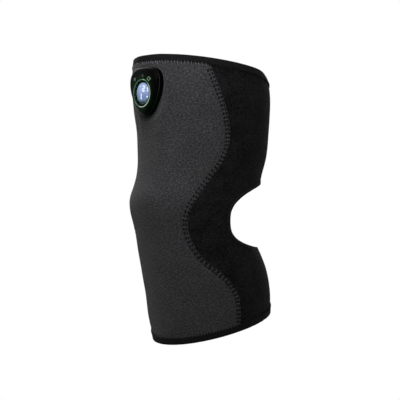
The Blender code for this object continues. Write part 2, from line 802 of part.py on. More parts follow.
def surface_frame(name, turn, height):
    # An empty on the wrap's face: local X runs round the leg, Y up it and Z outwards
    point = Vector(face_point(turn, height))
    out = Vector(face_normal(np.array(turn), np.array(height)))
    up = Vector((0, 0, 1))
    around = up.cross(out).normalized()
    rise = out.cross(around)
    turned = Matrix((around, rise, out)).transposed().to_4x4()
    return make_empty(name, Matrix.Translation(point) @ turned)


# Vibration motors

def motor(side, hand):
    # A flat motor: a steel can, a fixed shaft, a turning eccentric weight and a cover, in a plastic pod
    frame = surface_frame(side + "_motor_frame", hand * MOTOR_TURN, motor_height())
    floor = -POD_TOP_DROP - POD_DEPTH
    pod = loft(side + "_motor_pod", [
        level(circle(POD_RADIUS, ROUND_SIDES), floor),
        level(circle(POD_RADIUS, ROUND_SIDES), floor + POD_DEPTH),
        level(circle(POD_RADIUS - POD_WALL, ROUND_SIDES), floor + POD_DEPTH),
        level(circle(POD_RADIUS - POD_WALL, ROUND_SIDES), floor + POD_FLOOR),
    ], "pod_plastic")
    base = floor + POD_FLOOR + GAP
    can = loft(side + "_motor_can", [
        level(circle(CAN_RADIUS, ROUND_SIDES), base),
        level(circle(CAN_RADIUS, ROUND_SIDES), base + CAN_DEPTH),
        level(circle(CAN_RADIUS - CAN_WALL, ROUND_SIDES), base + CAN_DEPTH),
        level(circle(CAN_RADIUS - CAN_WALL, ROUND_SIDES), base + CAN_WALL),
    ], "steel")
    cover_base = base + CAN_DEPTH + GAP
    cover = loft(side + "_motor_cover", [
        level(circle(CAN_RADIUS, ROUND_SIDES), cover_base),
        level(circle(CAN_RADIUS, ROUND_SIDES), cover_base + COVER_WALL),
    ], "steel")
    inside = base + CAN_WALL + ROTOR_CLEARANCE
    shaft = loft(side + "_motor_shaft", [
        level(circle(SHAFT_RADIUS, SMALL_SIDES), inside),
        level(circle(SHAFT_RADIUS, SMALL_SIDES), cover_base - GAP),
    ], "steel")
    turn = np.linspace(0, math.tau, ROUND_SIDES, endpoint=False)
    near = np.abs((turn + math.pi) % math.tau - math.pi)
    swept = np.where(near < ROTOR_SWEEP, ROTOR_RADIUS, ROTOR_HUB_RADIUS)
    outline = np.column_stack([swept * np.cos(turn), swept * np.sin(turn)])
    bore = circle(SHAFT_RADIUS + ROTOR_CLEARANCE, ROUND_SIDES)
    rotor = loft(side + "_motor_weight", [
        level(outline, inside),
        level(outline, inside + ROTOR_WALL),
        level(bore, inside + ROTOR_WALL),
        level(bore, inside),
    ], "weight", closed=True)
    for item in (pod, can, cover, shaft, rotor):
        place(item, frame)
    return frame


# Leads from the controller to the films and motors

def smooth_route(points, step):
    # A smooth curve through the route's points, sampled evenly
    points = np.asarray(points, dtype=float)
    spans = np.linalg.norm(np.diff(points, axis=0), axis=1)
    places = np.concatenate([[0], np.cumsum(spans)])
    count = int(places[-1] / step) + 1
    at = np.linspace(0, places[-1], count)
    return np.column_stack([blend_table(at, places, points[:, axis]) for axis in range(3)])


def lead(name, column, route):
    # From the board straight in through the wrap, down in the wire space and out to its end
    height = slot_height()
    seat = seat_plane()
    start = seat - board_base()
    inside = seat + pad_room() + WIRE_SPACE * LEAD_DEPTH_SHARE
    corner = LEAD_BEND * LEAD_CORNER_SHARE
    points = [(column, start, height), (column, (start + seat) / 2, height), (column, seat, height),
              (column, (seat + inside) / 2, height), (column, inside - LEAD_BEND, height),
              (column, inside - corner, height - corner), (column, inside, height - LEAD_BEND)]
    for turn, at in route:
        turn, at = np.array(turn), np.array(at)
        points.append(tuple(layer(turn, at, pad_depth(turn, at) - WIRE_SPACE * (1 - LEAD_DEPTH_SHARE))))
    run = smooth_route(points, LEAD_STEP)
    curve = bpy.data.curves.new(name, "CURVE")
    curve.dimensions = "3D"
    curve.bevel_depth = LEAD_DIAMETER / 2
    curve.bevel_resolution = 1
    curve.use_fill_caps = True
    spline = curve.splines.new("POLY")
    spline.points.add(len(run) - 1)
    for point, where in zip(spline.points, run):
        point.co = (*where, 1.0)
    item = bpy.data.objects.new(name, curve)
    bpy.context.scene.collection.objects.link(item)
    if "lead" not in bpy.data.materials:
        make_material("lead", *FINISHES["lead"])
    curve.materials.append(bpy.data.materials["lead"])
    return item


def leads():
    slot = slot_height()
    film_end = FILM_HIGH + LEAD_DIAMETER + LAYER_GAP
    near, far = LEAD_COLUMN_SHARES
    for side, hand in (("left", 1), ("right", -1)):
        to_motor = [(hand * MOTOR_TURN * turn_share, slot + (motor_height() - slot) * down_share)
                    for turn_share, down_share in MOTOR_ROUTE_SHARES]
        to_film = [(hand * FILM_LEAD_TURN * turn_share, slot + (film_end - slot) * down_share)
                   for turn_share, down_share in FILM_ROUTE_SHARES]
        lead(side + "_motor_lead", hand * far * LEAD_PITCH, to_motor)
        lead(side + "_film_lead", hand * near * LEAD_PITCH, to_film)


# The controller

def board_base():
    return TRAY_DEPTH + GASKET_DEPTH - GAP


def face_level():
    return CASE_DEPTH


def ring_centre():
    return (0, -RING_DROP)


def key_turn(index):
    # Keys run from the wearer's right, over the middle, to the left
    return (index - 1) * KEY_SPACING


def key_level():
    # The underside of a key's flange
    return face_level() - CEILING_WALL - 2 * GAP - KEY_FLANGE_DEPTH


def cover_profile():
    # Insets and heights of the cover's outer side, from its rim over its rounded edge to its flat face
    base = TRAY_DEPTH + GASKET_DEPTH + 2 * GAP
    turns = np.linspace(0, math.pi / 2, 5)
    rounded = [(FACE_ROUND_WIDTH * (1 - math.cos(a)), face_level() - FACE_ROUND_DEPTH * (1 - math.sin(a)))
               for a in turns]
    return [(0.0, base)] + rounded


def make_tray(frame):
    # The case's back half: a tray with four screw bosses, a slot for the leads and a socket opening
    outer = shield(0)
    inner = shield(CASE_WALL)
    foot = shield(GAP)
    tray = loft("controller_back_shell", [
        level(foot, 0), level(outer, GAP), level(outer, TRAY_DEPTH), level(inner, TRAY_DEPTH),
        level(inner, CASE_FLOOR),
    ], "gloss_black")
    bosses = [loft("boss_%d" % i, [level(circle(BOSS_RADIUS, SMALL_SIDES, at), CASE_FLOOR / 2),
                                   level(circle(BOSS_RADIUS, SMALL_SIDES, at), board_base() - GAP)], None)
              for i, at in enumerate(SCREW_PLACES)]
    cut(tray, bosses, "UNION")
    holes = [loft("boss_hole_%d" % i, [
        level(circle(SCREW_RADIUS + SCREW_CLEARANCE, SMALL_SIDES, at), -OVERRUN),
        level(circle(SCREW_RADIUS + SCREW_CLEARANCE, SMALL_SIDES, at), SCREW_REACH + SCREW_CLEARANCE)], None)
        for i, at in enumerate(SCREW_PLACES)]
    slot = box("tray_slot", LEAD_SLOT_WIDTH, LEAD_SLOT_HEIGHT, -OVERRUN, CASE_FLOOR + OVERRUN,
               (0, -LEAD_SLOT_DROP), None)
    socket_gap = 2 * GAP
    opening = loft("socket_opening", [
        level(rectangle(CASE_WIDTH / 2, SOCKET_WIDTH + socket_gap, (-CASE_WIDTH / 2, SOCKET_HEIGHT)),
              socket_level() - GAP),
        level(rectangle(CASE_WIDTH / 2, SOCKET_WIDTH + socket_gap, (-CASE_WIDTH / 2, SOCKET_HEIGHT)),
              socket_level() + SOCKET_DEPTH + GAP)], None)
    cut(tray, holes + [slot, opening])
    for item in [tray, slot, opening] + bosses + holes:
        place(item, frame)


def make_cover(frame):
    # The case's glossy front half, with openings for the ring and the keys
    outer = [level(shield(inset), height) for inset, height in cover_profile()]
    base = cover_profile()[0][1]
    ceiling = face_level() - CEILING_WALL
    inner = [level(shield(CEILING_INSET), ceiling),
             level(shield((CEILING_INSET + CASE_WALL) / 2), ceiling - CEILING_DROP),
             level(shield(CASE_WALL), (base + ceiling) / 2), level(shield(CASE_WALL), base)]
    cover = loft("controller_front_shell", inner + outer, "gloss_black")
    low = ceiling - OVERRUN
    high = face_level() + OVERRUN
    round_hole = circle(RING_RADIUS + GAP, RING_SIDES, ring_centre())
    ring_hole = loft("ring_hole", [level(round_hole, low), level(round_hole, high)], None)
    key_holes = []
    for i, name in enumerate(KEY_NAMES):
        outline = bean(KEY_HALF_THICKNESS + KEY_CLEARANCE, KEY_HALF_TURN, key_turn(i))
        key_holes.append(loft(name + "_hole", [level(outline, low), level(outline, high)], None))
    cut(cover, [ring_hole] + key_holes)
    for item in [cover, ring_hole] + key_holes:
        place(item, frame)


def make_gasket(frame):
    low = TRAY_DEPTH + GAP
    high = low + GASKET_DEPTH
    outer = shield((CASE_WALL - GASKET_WIDTH) / 2)
    inner = shield((CASE_WALL + GASKET_WIDTH) / 2)
    place(loft("case_gasket", [level(outer, low), level(outer, high), level(inner, high), level(inner, low)],
               "rubber", closed=True), frame)


def make_ring_and_lens(frame):
    # The ring is a light guide with a flange under the cover and a ledge that carries the lens
    sides = RING_SIDES
    centre = ring_centre()
    flange_top = face_level() - CEILING_WALL - GAP
    flange_low = flange_top - RING_FLANGE_DEPTH
    lens_low = face_level() - LENS_SINK - LENS_WALL
    ledge = lens_low - GAP
    inner = RING_RADIUS - RING_WIDTH
    flange = RING_RADIUS + GAP + RING_FLANGE
    top = face_level() + RING_PROUD
    step = inner - RING_LEDGE_WIDTH
    rings = [(flange, flange_low), (flange, flange_top), (RING_RADIUS, flange_top), (RING_RADIUS, top),
             (inner, top), (inner, ledge), (step, ledge), (step, ledge - RING_LEDGE_DEPTH)]
    ring = loft("light_ring", [level(circle(radius, sides, centre), height) for radius, height in rings],
                "ring_light", closed=True)
    lens_radius = inner - GAP
    lens = loft("display_lens", [
        level(circle(lens_radius, sides, centre), lens_low),
        level(circle(lens_radius, sides, centre), face_level() - LENS_SINK),
    ], "lens")
    module = loft("display_module", [
        level(circle(RING_RADIUS - MODULE_INSET, ROUND_SIDES, centre), board_base() + BOARD_WALL + GAP),
        level(circle(RING_RADIUS - MODULE_INSET, ROUND_SIDES, centre), lens_low - GAP),
    ], "module")
    for item in (ring, lens, module):
        place(item, frame)


def make_keys(frame):
    # Each key is a bean-shaped cap with a wider flange under the cover and a stem over its switch
    top = face_level() + KEY_PROUD
    under = key_level()
    switch_low = board_base() + BOARD_WALL + GAP
    switch_top = switch_low + SWITCH_DEPTH
    stem = switch_top + KEY_TRAVEL + KEY_REST_GAP
    for index, name in enumerate(KEY_NAMES):
        turn = key_turn(index)
        at = (KEY_RADIUS * math.sin(turn), KEY_RADIUS * math.cos(turn) - RING_DROP)
        cap = bean(KEY_HALF_THICKNESS, KEY_HALF_TURN, turn)
        flange = bean(KEY_HALF_THICKNESS, KEY_HALF_TURN + KEY_FLANGE_TURN, turn)
        foot = bean(KEY_STEM_RADIUS, KEY_HALF_TURN / 2, turn)
        edge = bean(KEY_HALF_THICKNESS - KEY_EDGE, KEY_HALF_TURN, turn)
        over = under + KEY_FLANGE_DEPTH
        key = loft(name, [level(foot, stem), level(foot, under), level(flange, under), level(flange, over),
                          level(cap, over), level(cap, top - KEY_EDGE), level(edge, top)], "gloss_black")
        switch = box(name.replace("key", "switch"), SWITCH_SIZE, SWITCH_SIZE, switch_low, switch_top, at,
                     "switch")
        place(key, frame)
        place(switch, frame)


def socket_level():
    return CASE_FLOOR + GAP


def make_inside(frame):
    # Circuit board, battery and charging socket
    board = loft("circuit_board", [level(shield(BOARD_INSET), board_base()),
                                   level(shield(BOARD_INSET), board_base() + BOARD_WALL)], "board")
    low = CASE_FLOOR + GAP
    battery = box("battery", BATTERY_WIDTH, BATTERY_HEIGHT, low, low + BATTERY_DEPTH, (0, BATTERY_LIFT),
                  "battery")
    edge = battery.modifiers.new("rounded_edges", "BEVEL")
    edge.width = BATTERY_EDGE
    edge.segments = 2
    for item in (board, battery, make_socket()):
        place(item, frame)


def make_socket():
    # A metal-cased socket that opens sideways, with its contact tongue standing in the mouth
    outside = -shield_half_width(SOCKET_HEIGHT) + GAP
    low = socket_level()
    middle = low + SOCKET_DEPTH / 2
    mouth_width = SOCKET_WIDTH - 2 * SOCKET_WALL
    mouth_length = SOCKET_LENGTH - SOCKET_WALL
    tongue_length = mouth_length - TONGUE_SETBACK + SOCKET_WALL / 2

    def along(name, start, length, width, base, top, finish):
        return box(name, length, width, base, top, (start + length / 2, SOCKET_HEIGHT), finish)

    body = along("charging_socket", outside, SOCKET_LENGTH, SOCKET_WIDTH, low, low + SOCKET_DEPTH, "steel")
    mouth = along("socket_mouth", outside - OVERRUN, mouth_length + OVERRUN, mouth_width, low + SOCKET_WALL,
                  low + SOCKET_DEPTH - SOCKET_WALL, None)
    tongue = along("socket_tongue", outside + TONGUE_SETBACK, tongue_length, mouth_width - 2 * TONGUE_SIDE,
                   middle - TONGUE_WALL / 2, middle + TONGUE_WALL / 2, None)
    cut(body, [mouth])
    cut(body, [tongue], "UNION")
    mouth.parent = body
    tongue.parent = body
    return body


def shield_half_width(height):
    widest = np.abs(shield_width(np.linspace(0, math.tau, CASE_SIDES, endpoint=False))).max()
    return CASE_WIDTH / 2 * float(shield_width(math.asin(height / (CASE_HEIGHT / 2)))) / widest


def panel_holes(frame, panel):
    # Screw and lead holes through the front panel under the controller
    holes = [loft("panel_hole_%d" % i, [
        level(circle(SCREW_RADIUS + SCREW_CLEARANCE, SMALL_SIDES, at), -GAP - PANEL_WALL - HOLE_OVERRUN),
        level(circle(SCREW_RADIUS + SCREW_CLEARANCE, SMALL_SIDES, at), OVERRUN)], None)
        for i, at in enumerate(SCREW_PLACES)]
    slot = box("panel_slot", LEAD_SLOT_WIDTH, LEAD_SLOT_HEIGHT, -GAP - PANEL_WALL - HOLE_OVERRUN, OVERRUN,
               (0, -LEAD_SLOT_DROP), None)
    cut(panel, holes + [slot])
    for item in holes + [slot]:
        place(item, frame)


def plate_top():
    return -GAP - PANEL_WALL - PLATE_GAP


def make_plate(frame):
    # A stiff plate inside the wrap that the screws pull against
    low = plate_top() - PLATE_WALL
    plate = loft("backing_plate", [level(shield(PLATE_INSET), low), level(shield(PLATE_INSET), plate_top())],
                 "pod_plastic")
    holes = [loft("plate_hole_%d" % i, [
        level(circle(SCREW_RADIUS + SCREW_CLEARANCE, SMALL_SIDES, at), low - OVERRUN),
        level(circle(SCREW_RADIUS + SCREW_CLEARANCE, SMALL_SIDES, at), plate_top() + OVERRUN)], None)
        for i, at in enumerate(SCREW_PLACES)]
    slot = box("plate_slot", LEAD_SLOT_WIDTH + 2 * (GROMMET_WALL + GAP),
               LEAD_SLOT_HEIGHT + 2 * (GROMMET_WALL + GAP), low - OVERRUN, plate_top() + OVERRUN,
               (0, -LEAD_SLOT_DROP), None)
    cut(plate, holes + [slot])
    width = LEAD_SLOT_WIDTH
    height = LEAD_SLOT_HEIGHT
    outer = rectangle(width + 2 * GROMMET_WALL, height + 2 * GROMMET_WALL, (0, -LEAD_SLOT_DROP))
    inner = rectangle(width, height, (0, -LEAD_SLOT_DROP))
    grommet = loft("lead_grommet", [level(outer, low), level(outer, plate_top()), level(inner, plate_top()),
                                    level(inner, low)], "rubber", closed=True)
    for item in [plate, slot, grommet] + holes:
        place(item, frame)


def make_screws(frame):
    under = plate_top() - PLATE_WALL - GAP
    for i, at in enumerate(SCREW_PLACES):
        screw = loft("case_screw_%d" % (i + 1), [
            level(circle(SCREW_HEAD_RADIUS, SMALL_SIDES, at), under - SCREW_HEAD_DEPTH),
            level(circle(SCREW_HEAD_RADIUS, SMALL_SIDES, at), under),
            level(circle(SCREW_RADIUS, SMALL_SIDES, at), under),
            level(circle(SCREW_RADIUS, SMALL_SIDES, at), SCREW_REACH)], "steel")
        place(screw, frame)


def foam_cutouts(frame, foam):
    # Room in the foam for the backing plate, its screws and the two motor pods
    room = loft("plate_room", [
        level(shield(PLATE_INSET - 2 * LAYER_GAP), -GAP - pad_room() - OVERRUN),
        level(shield(PLATE_INSET - 2 * LAYER_GAP), OVERRUN)], None)
    place(room, frame)
    rooms = [room]
    for side in ("left", "right"):
        hole = loft(side + "_pod_room", [
            level(circle(POD_RADIUS + LAYER_GAP, ROUND_SIDES), -pad_room() - OVERRUN),
            level(circle(POD_RADIUS + LAYER_GAP, ROUND_SIDES), OVERRUN)], None)
        place(hole, bpy.data.objects[side + "_motor_frame"])
        rooms.append(hole)
    cut(foam, rooms)


def pad_room():
    return PANEL_WALL + FOAM_GAP + FOAM_WALL


def controller_frame():
    # Local X is the wearer's left, Y is up the leg and Z is out of the controller's face
    seat = Vector((0, seat_plane() - GAP, seat_height()))
    return make_empty("controller_frame", Matrix.Translation(seat) @ Matrix.Rotation(math.pi / 2, 4, "X"))


def build():
    clear_scene()
    panel = front_panel()
    side_panel("left_side_panel", 1, LEFT_WING_END_SHARE)
    side_panel("right_side_panel", -1, RIGHT_WING_END_SHARE)
    inner_lining()
    foam = foam_core()
    rim_binding("top_binding", top_rim, 1)
    rim_binding("bottom_binding", bottom_rim, -1)
    notch_binding("left_opening_binding", 1, LEFT_WING_END_SHARE)
    notch_binding("right_opening_binding", -1, RIGHT_WING_END_SHARE)
    hook_tape("upper_hook_tape", True)
    hook_tape("lower_hook_tape", False)
    for side, hand in (("left", 1), ("right", -1)):
        heating_film(side + "_heating_film", hand)
        heating_wire(side + "_heating_wire", hand)
        sensor(side + "_temperature_sensor", hand)
        motor(side, hand)
    leads()
    frame = controller_frame()
    make_tray(frame)
    make_cover(frame)
    make_gasket(frame)
    make_ring_and_lens(frame)
    make_keys(frame)
    make_inside(frame)
    make_plate(frame)
    make_screws(frame)
    panel_holes(frame, panel)
    foam_cutouts(frame, foam)


build()
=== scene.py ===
import functools
from math import cos, pi, radians, sin

import bpy
import numpy as np
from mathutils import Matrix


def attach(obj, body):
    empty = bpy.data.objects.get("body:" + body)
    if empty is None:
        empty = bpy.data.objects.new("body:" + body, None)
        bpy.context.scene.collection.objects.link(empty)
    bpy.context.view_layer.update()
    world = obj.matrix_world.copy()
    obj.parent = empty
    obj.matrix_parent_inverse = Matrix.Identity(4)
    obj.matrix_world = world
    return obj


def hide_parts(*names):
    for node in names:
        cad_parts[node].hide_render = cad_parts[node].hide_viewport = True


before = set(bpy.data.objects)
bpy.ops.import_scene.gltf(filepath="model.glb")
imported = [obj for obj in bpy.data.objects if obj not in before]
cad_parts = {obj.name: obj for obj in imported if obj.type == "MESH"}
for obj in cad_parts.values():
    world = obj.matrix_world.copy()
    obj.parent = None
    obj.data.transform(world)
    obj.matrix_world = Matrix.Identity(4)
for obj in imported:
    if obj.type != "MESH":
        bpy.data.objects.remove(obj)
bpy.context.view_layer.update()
mm = 0.001
tau = 2 * pi
print("frame loaded:", len(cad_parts), "nodes")


class Settings(dict):
    # a dictionary whose values can also be read as settings.name
    __getattr__ = dict.__getitem__


def lengths(**values):
    # millimetres turned into metres
    return {name: np.multiply(value, mm).tolist() for name, value in values.items()}


def putInScene(name, data):
    thing = bpy.data.objects.new(name, data)
    bpy.context.scene.collection.objects.link(thing)
    return thing


# The camera stands level with the knee, 52 degrees round to the wearer's left
view = Settings(turn=radians(52), away=1.9, aside=0.0031, level=0.011, lens=155.43, sensor=36)
camera = putInScene("camera", bpy.data.cameras.new("camera"))
camera.data.lens = view.lens
camera.data.sensor_width = view.sensor
camera.location = (
    sin(view.turn) * view.away + cos(view.turn) * view.aside,
    -cos(view.turn) * view.away + sin(view.turn) * view.aside,
    view.level,
)
camera.rotation_euler = (pi / 2, 0, view.turn)
bpy.context.scene.camera = camera
bpy.context.scene.view_settings.view_transform = "Standard"


# The form of the wrap, the same as the CAD layers have, with softer corners behind the leg

legForm = Settings(
    lengths(height=320.0, depth=135.4, kneeLevel=9, kneeRise=10.2, kneeReachUp=20, kneeReachDown=27),
    # height share, centre share, depth share, width to depth
    rows=np.array([
        (-0.4875, 0.151, 0.454, 0.98), (-0.3750, 0.126, 0.495, 0.98), (-0.2750, 0.106, 0.513, 0.98),
        (-0.2063, 0.070, 0.513, 0.98), (-0.1500, 0.030, 0.502, 0.98), (-0.0625, 0.004, 0.500, 0.98),
        (0.0313, 0.002, 0.500, 0.98), (0.1063, 0.019, 0.503, 1.00), (0.1813, 0.049, 0.517, 1.03),
        (0.2688, 0.056, 0.523, 1.07), (0.3500, 0.046, 0.535, 1.10), (0.4250, 0.038, 0.543, 1.10),
        (0.5563, 0.056, 0.527, 1.10),
    ]),
    kneeTurn=radians(58), topRim=(155 * mm, 0.18), bottomRim=(-132 * mm, -0.28))
seatForm = Settings(
    lengths(level=127.7137, plane=-63.909, half=26, margin=12, fade=15, holdHalf=15, sideFade=12))
openingForm = Settings(
    lengths(tipLevel=-12, backLevel=-5, half=36, fall=3.6),
    tip=radians(83.8), power=2.8, fallTurns=(radians(132), radians(165)))
cornerForm = Settings(lengths(pull=5.2, reach=8, lowPull=3.4, lowReach=5), turns=(radians(96), radians(128)))
seamForm = Settings(
    lengths(split=0.3, radius=68),
    shares=np.array([-0.400, -0.335, -0.280, -0.225, -0.172, -0.118, -0.065, -0.012, 0.040, 0.094,
                     0.148, 0.228, 0.306, 0.400, 0.464, 0.530]),
    turns=np.radians([83.0, 83.0, 80.7, 72.3, 57.6, 48.5, 44.3, 45.9, 52.3, 60.8, 69.3, 74.6, 72.0,
                      65.0, 58.6, 50.0]))
layers = Settings(
    lengths(panel=1.6, liningGap=0.75, lining=0.8, foamGap=1.1, foam=3.6, wireSpace=3.4, liningBase=2.35,
            padRims=(8, 24), lift=6.25),
    padTurns=(radians(55.9), radians(69.8)), leftEnd=1.145, rightEnd=1.10, liftShares=(0.563, 0.709))


def blendTable(at, places, values):
    # smooth cubic through the table's rows
    at = np.asarray(at, dtype=float)
    slopes = np.gradient(values, places)
    i = np.clip(np.searchsorted(places, at) - 1, 0, len(places) - 2)
    span = places[i + 1] - places[i]
    t = np.clip((at - places[i]) / span, 0, 1)
    low, high = values[i], values[i + 1]
    return (low * (2 * t**3 - 3 * t**2 + 1) + slopes[i] * span * (t**3 - 2 * t**2 + t)
            + high * (3 * t**2 - 2 * t**3) + slopes[i + 1] * span * (t**3 - t**2))


def fade(value, start, end):
    # 0 at start, 1 at end, with soft ends
    t = np.clip((value - start) / (end - start), 0, 1)
    return t * t * (3 - 2 * t)


def unit(vectors):
    return vectors / np.linalg.norm(vectors, axis=-1, keepdims=True)


def joined(*parts):
    # arrays that fit each other, as the columns of one array
    return np.stack(np.broadcast_arrays(*parts), axis=-1)


def runLength(points):
    # distance from the start of a path to each of its points
    steps = np.linalg.norm(np.diff(points, axis=-2), axis=-1).cumsum(axis=-1)
    return np.concatenate([np.zeros(steps.shape[:-1] + (1,)), steps], axis=-1)


def legSection(height):
    # centre, depth and width of the ellipse at a height
    centre, depth, width = (blendTable(np.asarray(height) / legForm.height, legForm.rows[:, 0], column)
                            for column in legForm.rows[:, 1:].T)
    return centre * legForm.depth, depth * legForm.depth, depth * legForm.depth * width


def facePoint(turn, height):
    # ellipse round the leg, plus a bell at the kneecap, held flat where the controller sits,
    # and pulled in by exp(-distance / reach) at the corners behind the leg
    turn, height = np.broadcast_arrays(np.asarray(turn, float), np.asarray(height, float))
    centre, depth, width = legSection(height)
    near = (turn + pi) % tau - pi
    up = height - legForm.kneeLevel
    reach = np.where(up > 0, legForm.kneeReachUp, legForm.kneeReachDown)
    rise = legForm.kneeRise * np.exp(-(up / reach) ** 2 - (near / legForm.kneeTurn) ** 2)
    below = np.maximum(topRim(turn) - height, 0)
    under = np.maximum(openingEdge(turn, -1) - height, 0)
    pull = cornerForm.pull * np.exp(-below / cornerForm.reach)
    lowPull = cornerForm.lowPull * np.exp(-under / cornerForm.lowReach)
    pull = pull + lowPull * (height < openingForm.backLevel)
    rise = rise - pull * fade(np.abs(turn), *cornerForm.turns)
    x = (width + rise) * np.sin(turn)
    y = centre - (depth + rise) * np.cos(turn)
    off = np.abs(height - seatForm.level) - seatForm.half - seatForm.margin
    held = (1 - fade(off, 0, seatForm.fade)) * (np.cos(turn) > 0)
    middle = 1 - fade(np.abs(x) - seatForm.holdHalf, 0, seatForm.sideFade)
    y = y + held * (seatForm.plane - y) * np.where(y < seatForm.plane, 1, middle)
    return joined(x, y, height)


def faceNormal(turn, height):
    # cross product of two small steps over the face
    turn, height = np.asarray(turn, float), np.asarray(height, float)
    step, climb = radians(0.5), 0.5 * mm
    around = facePoint(turn + step, height) - facePoint(turn - step, height)
    return unit(np.cross(around, facePoint(turn, height + climb) - facePoint(turn, height - climb)))


def layer(turn, height, depth):
    return facePoint(turn, height) - faceNormal(turn, height) * np.asarray(depth)[..., None]


def rimHeight(rim, turn):
    # a rim is the plane z = middle - fall * y
    middle, fall = rim
    centre, depth, _ = legSection(middle)
    return middle - fall * (centre - depth * np.cos(turn))


topRim = functools.partial(rimHeight, legForm.topRim)
bottomRim = functools.partial(rimHeight, legForm.bottomRim)


def rimGap(turn, height):
    return np.minimum(topRim(turn) - height, height - bottomRim(turn))


def openingEdge(turn, side):
    # half of a superellipse, |x|^p + |y|^p = 1, open to the back of the knee, where its lower edge falls
    form = openingForm
    share = np.clip(np.abs(pi - np.abs(turn)) / (pi - form.tip), 0, 1)
    middle = form.backLevel + (form.tipLevel - form.backLevel) * share**2
    fall = (side < 0) * form.fall * fade(np.abs(turn), *form.fallTurns)
    return middle + side * form.half * np.maximum(1 - share ** form.power, 0) ** (1 / form.power) - fall


def seamTurn(height):
    return blendTable(np.asarray(height) / legForm.height, seamForm.shares, seamForm.turns)


def seamSlope(height):
    # sideways run of the seam per metre up
    return (seamTurn(height + mm) - seamTurn(height - mm)) * seamForm.radius / (2 * mm)


def seamGap(turn, height):
    # distance square to the seam, minus towards the front
    run = (np.abs(turn) - seamTurn(height)) * seamForm.radius
    return run / np.sqrt(1 + seamSlope(height) ** 2)


def shareTurn(share):
    # 0 at the opening's tip, 1 at the middle of the back
    return openingForm.tip + (pi - openingForm.tip) * share


def wingLift(turn):
    return layers.lift * fade(-turn, *[shareTurn(share) for share in layers.liftShares])


def padDepth(turn, height):
    # the lining's depth under the face, deeper where the pad lies
    full = layers.foamGap - layers.liningGap + layers.foam + layers.wireSpace
    share = (1 - fade(np.abs(turn), *layers.padTurns)) * fade(rimGap(turn, height), *layers.padRims)
    return layers.liningBase + full * share


cloth = Settings(
    lengths(waves=(34, 47, 66, 95), waveRise=0.38, puckerPitch=9.6, puckerRise=0.16, puckerReach=6,
            press=0.38, pressAt=-3.7, pressReach=3.4, caseHalf=(24.7, 26), caseMean=25, roll=1.1,
            rollAt=6, rollReach=3.6, rollRims=(6, 12), rims=(7.5, 15), openings=(3.5, 11), casing=(4, 20)),
    seed=7, wings=(radians(128), radians(142)))


def softWaves(across, up):
    # mean of a few sine waves with set directions
    chance = np.random.default_rng(cloth.seed)
    total = 0
    for size in cloth.waves:
        way, phase = chance.uniform(0, pi), chance.uniform(0, tau)
        total = total + np.sin(tau * (across * cos(way) + up * sin(way)) / size + phase)
    return total / len(cloth.waves)


def swell(turn, height):
    # soft waves + puckers and a pressed band beside the seam + a roll round the controller
    gap, rim = seamGap(turn, height), rimGap(turn, height)
    rise = cloth.waveRise * softWaves(turn * seamForm.radius, height)
    pucker = np.cos(tau * height / cloth.puckerPitch) * np.exp(-(gap / cloth.puckerReach) ** 2)
    rise = rise + cloth.puckerRise * pucker
    rise = rise - cloth.press * np.exp(-((gap - cloth.pressAt) / cloth.pressReach) ** 4)
    beside = np.maximum(openingForm.tip - np.abs(turn), 0) * seamForm.radius
    edges = [np.abs(height - openingEdge(turn, side)) for side in (1, -1)]
    opening = np.hypot(beside, np.minimum(*edges))
    halfWidth, halfHeight = cloth.caseHalf
    x = facePoint(turn, height)[..., 0]
    out = (np.hypot(x / halfWidth, (height - seatForm.level) / halfHeight) - 1) * cloth.caseMean
    out = np.where(np.abs(turn) < pi / 2, out, 1)
    rise = rise * fade(rim, *cloth.rims) * fade(opening, *cloth.openings)
    rise = rise * (1 - fade(np.abs(turn), *cloth.wings)) * fade(out, *cloth.casing)
    roll = np.exp(-((out - cloth.rollAt) / cloth.rollReach) ** 2)
    return rise + cloth.roll * roll * fade(rim, *cloth.rollRims)


# Mesh making

def makeMesh(name, points, faces, smoothTurn=50):
    mesh = bpy.data.meshes.new(name)
    mesh.from_pydata(np.asarray(points).reshape(-1, 3).tolist(), [], faces)
    mesh.shade_smooth()
    mesh.set_sharp_from_angle(angle=radians(smoothTurn))
    mesh.update()
    return putInScene(name, mesh)


def giveMap(piece, along, across):
    # one UV pair for each vertex, in metres
    places = joined(along, across).reshape(-1, 2).astype(np.float32)
    corner = np.empty(len(piece.data.loops), dtype=np.int32)
    piece.data.loops.foreach_get("vertex_index", corner)
    piece.data.uv_layers.new(name="cut").data.foreach_set("uv", places[corner].ravel())


def setPiece(piece, material, body="wrap", stands=()):
    piece.data.materials.append(material)
    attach(piece, body)
    if stands:
        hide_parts(*stands)
    return piece


def gridQuads(index):
    return joined(index[:-1, :-1], index[1:, :-1], index[1:, 1:], index[:-1, 1:]).reshape(-1, 4)


def closedSheet(name, turn, height, quads, outer, inner):
    # outer face, inner face, and a wall along every edge that only one quad has
    used, quads = np.unique(quads, return_inverse=True)
    quads = quads.reshape(-1, 4)
    turn, height = turn.ravel()[used], height.ravel()[used]
    count = len(used)
    front, back = (layer(turn, height, depth(turn, height)) for depth in (outer, inner))
    start, end = quads.ravel(), np.roll(quads, -1, axis=1).ravel()
    edge = ~np.isin(start * count + end, end * count + start)
    start, end = start[edge], end[edge]
    walls = joined(end, start, start + count, end + count)
    faces = np.concatenate([quads, quads[:, ::-1] + count, walls])
    piece = makeMesh(name, np.concatenate([front, back]), faces.tolist(), 60)
    giveMap(piece, np.tile(turn * seamForm.radius, 2), np.tile(height, 2))
    corner = front[quads]
    double = np.cross(corner[:, 2] - corner[:, 0], corner[:, 3] - corner[:, 1])
    return piece, float(np.linalg.norm(double, axis=1).sum() / 2)


def gridSheet(name, turn, height, outer, inner):
    return closedSheet(name, turn, height, gridQuads(np.arange(turn.size).reshape(turn.shape)), outer, inner)


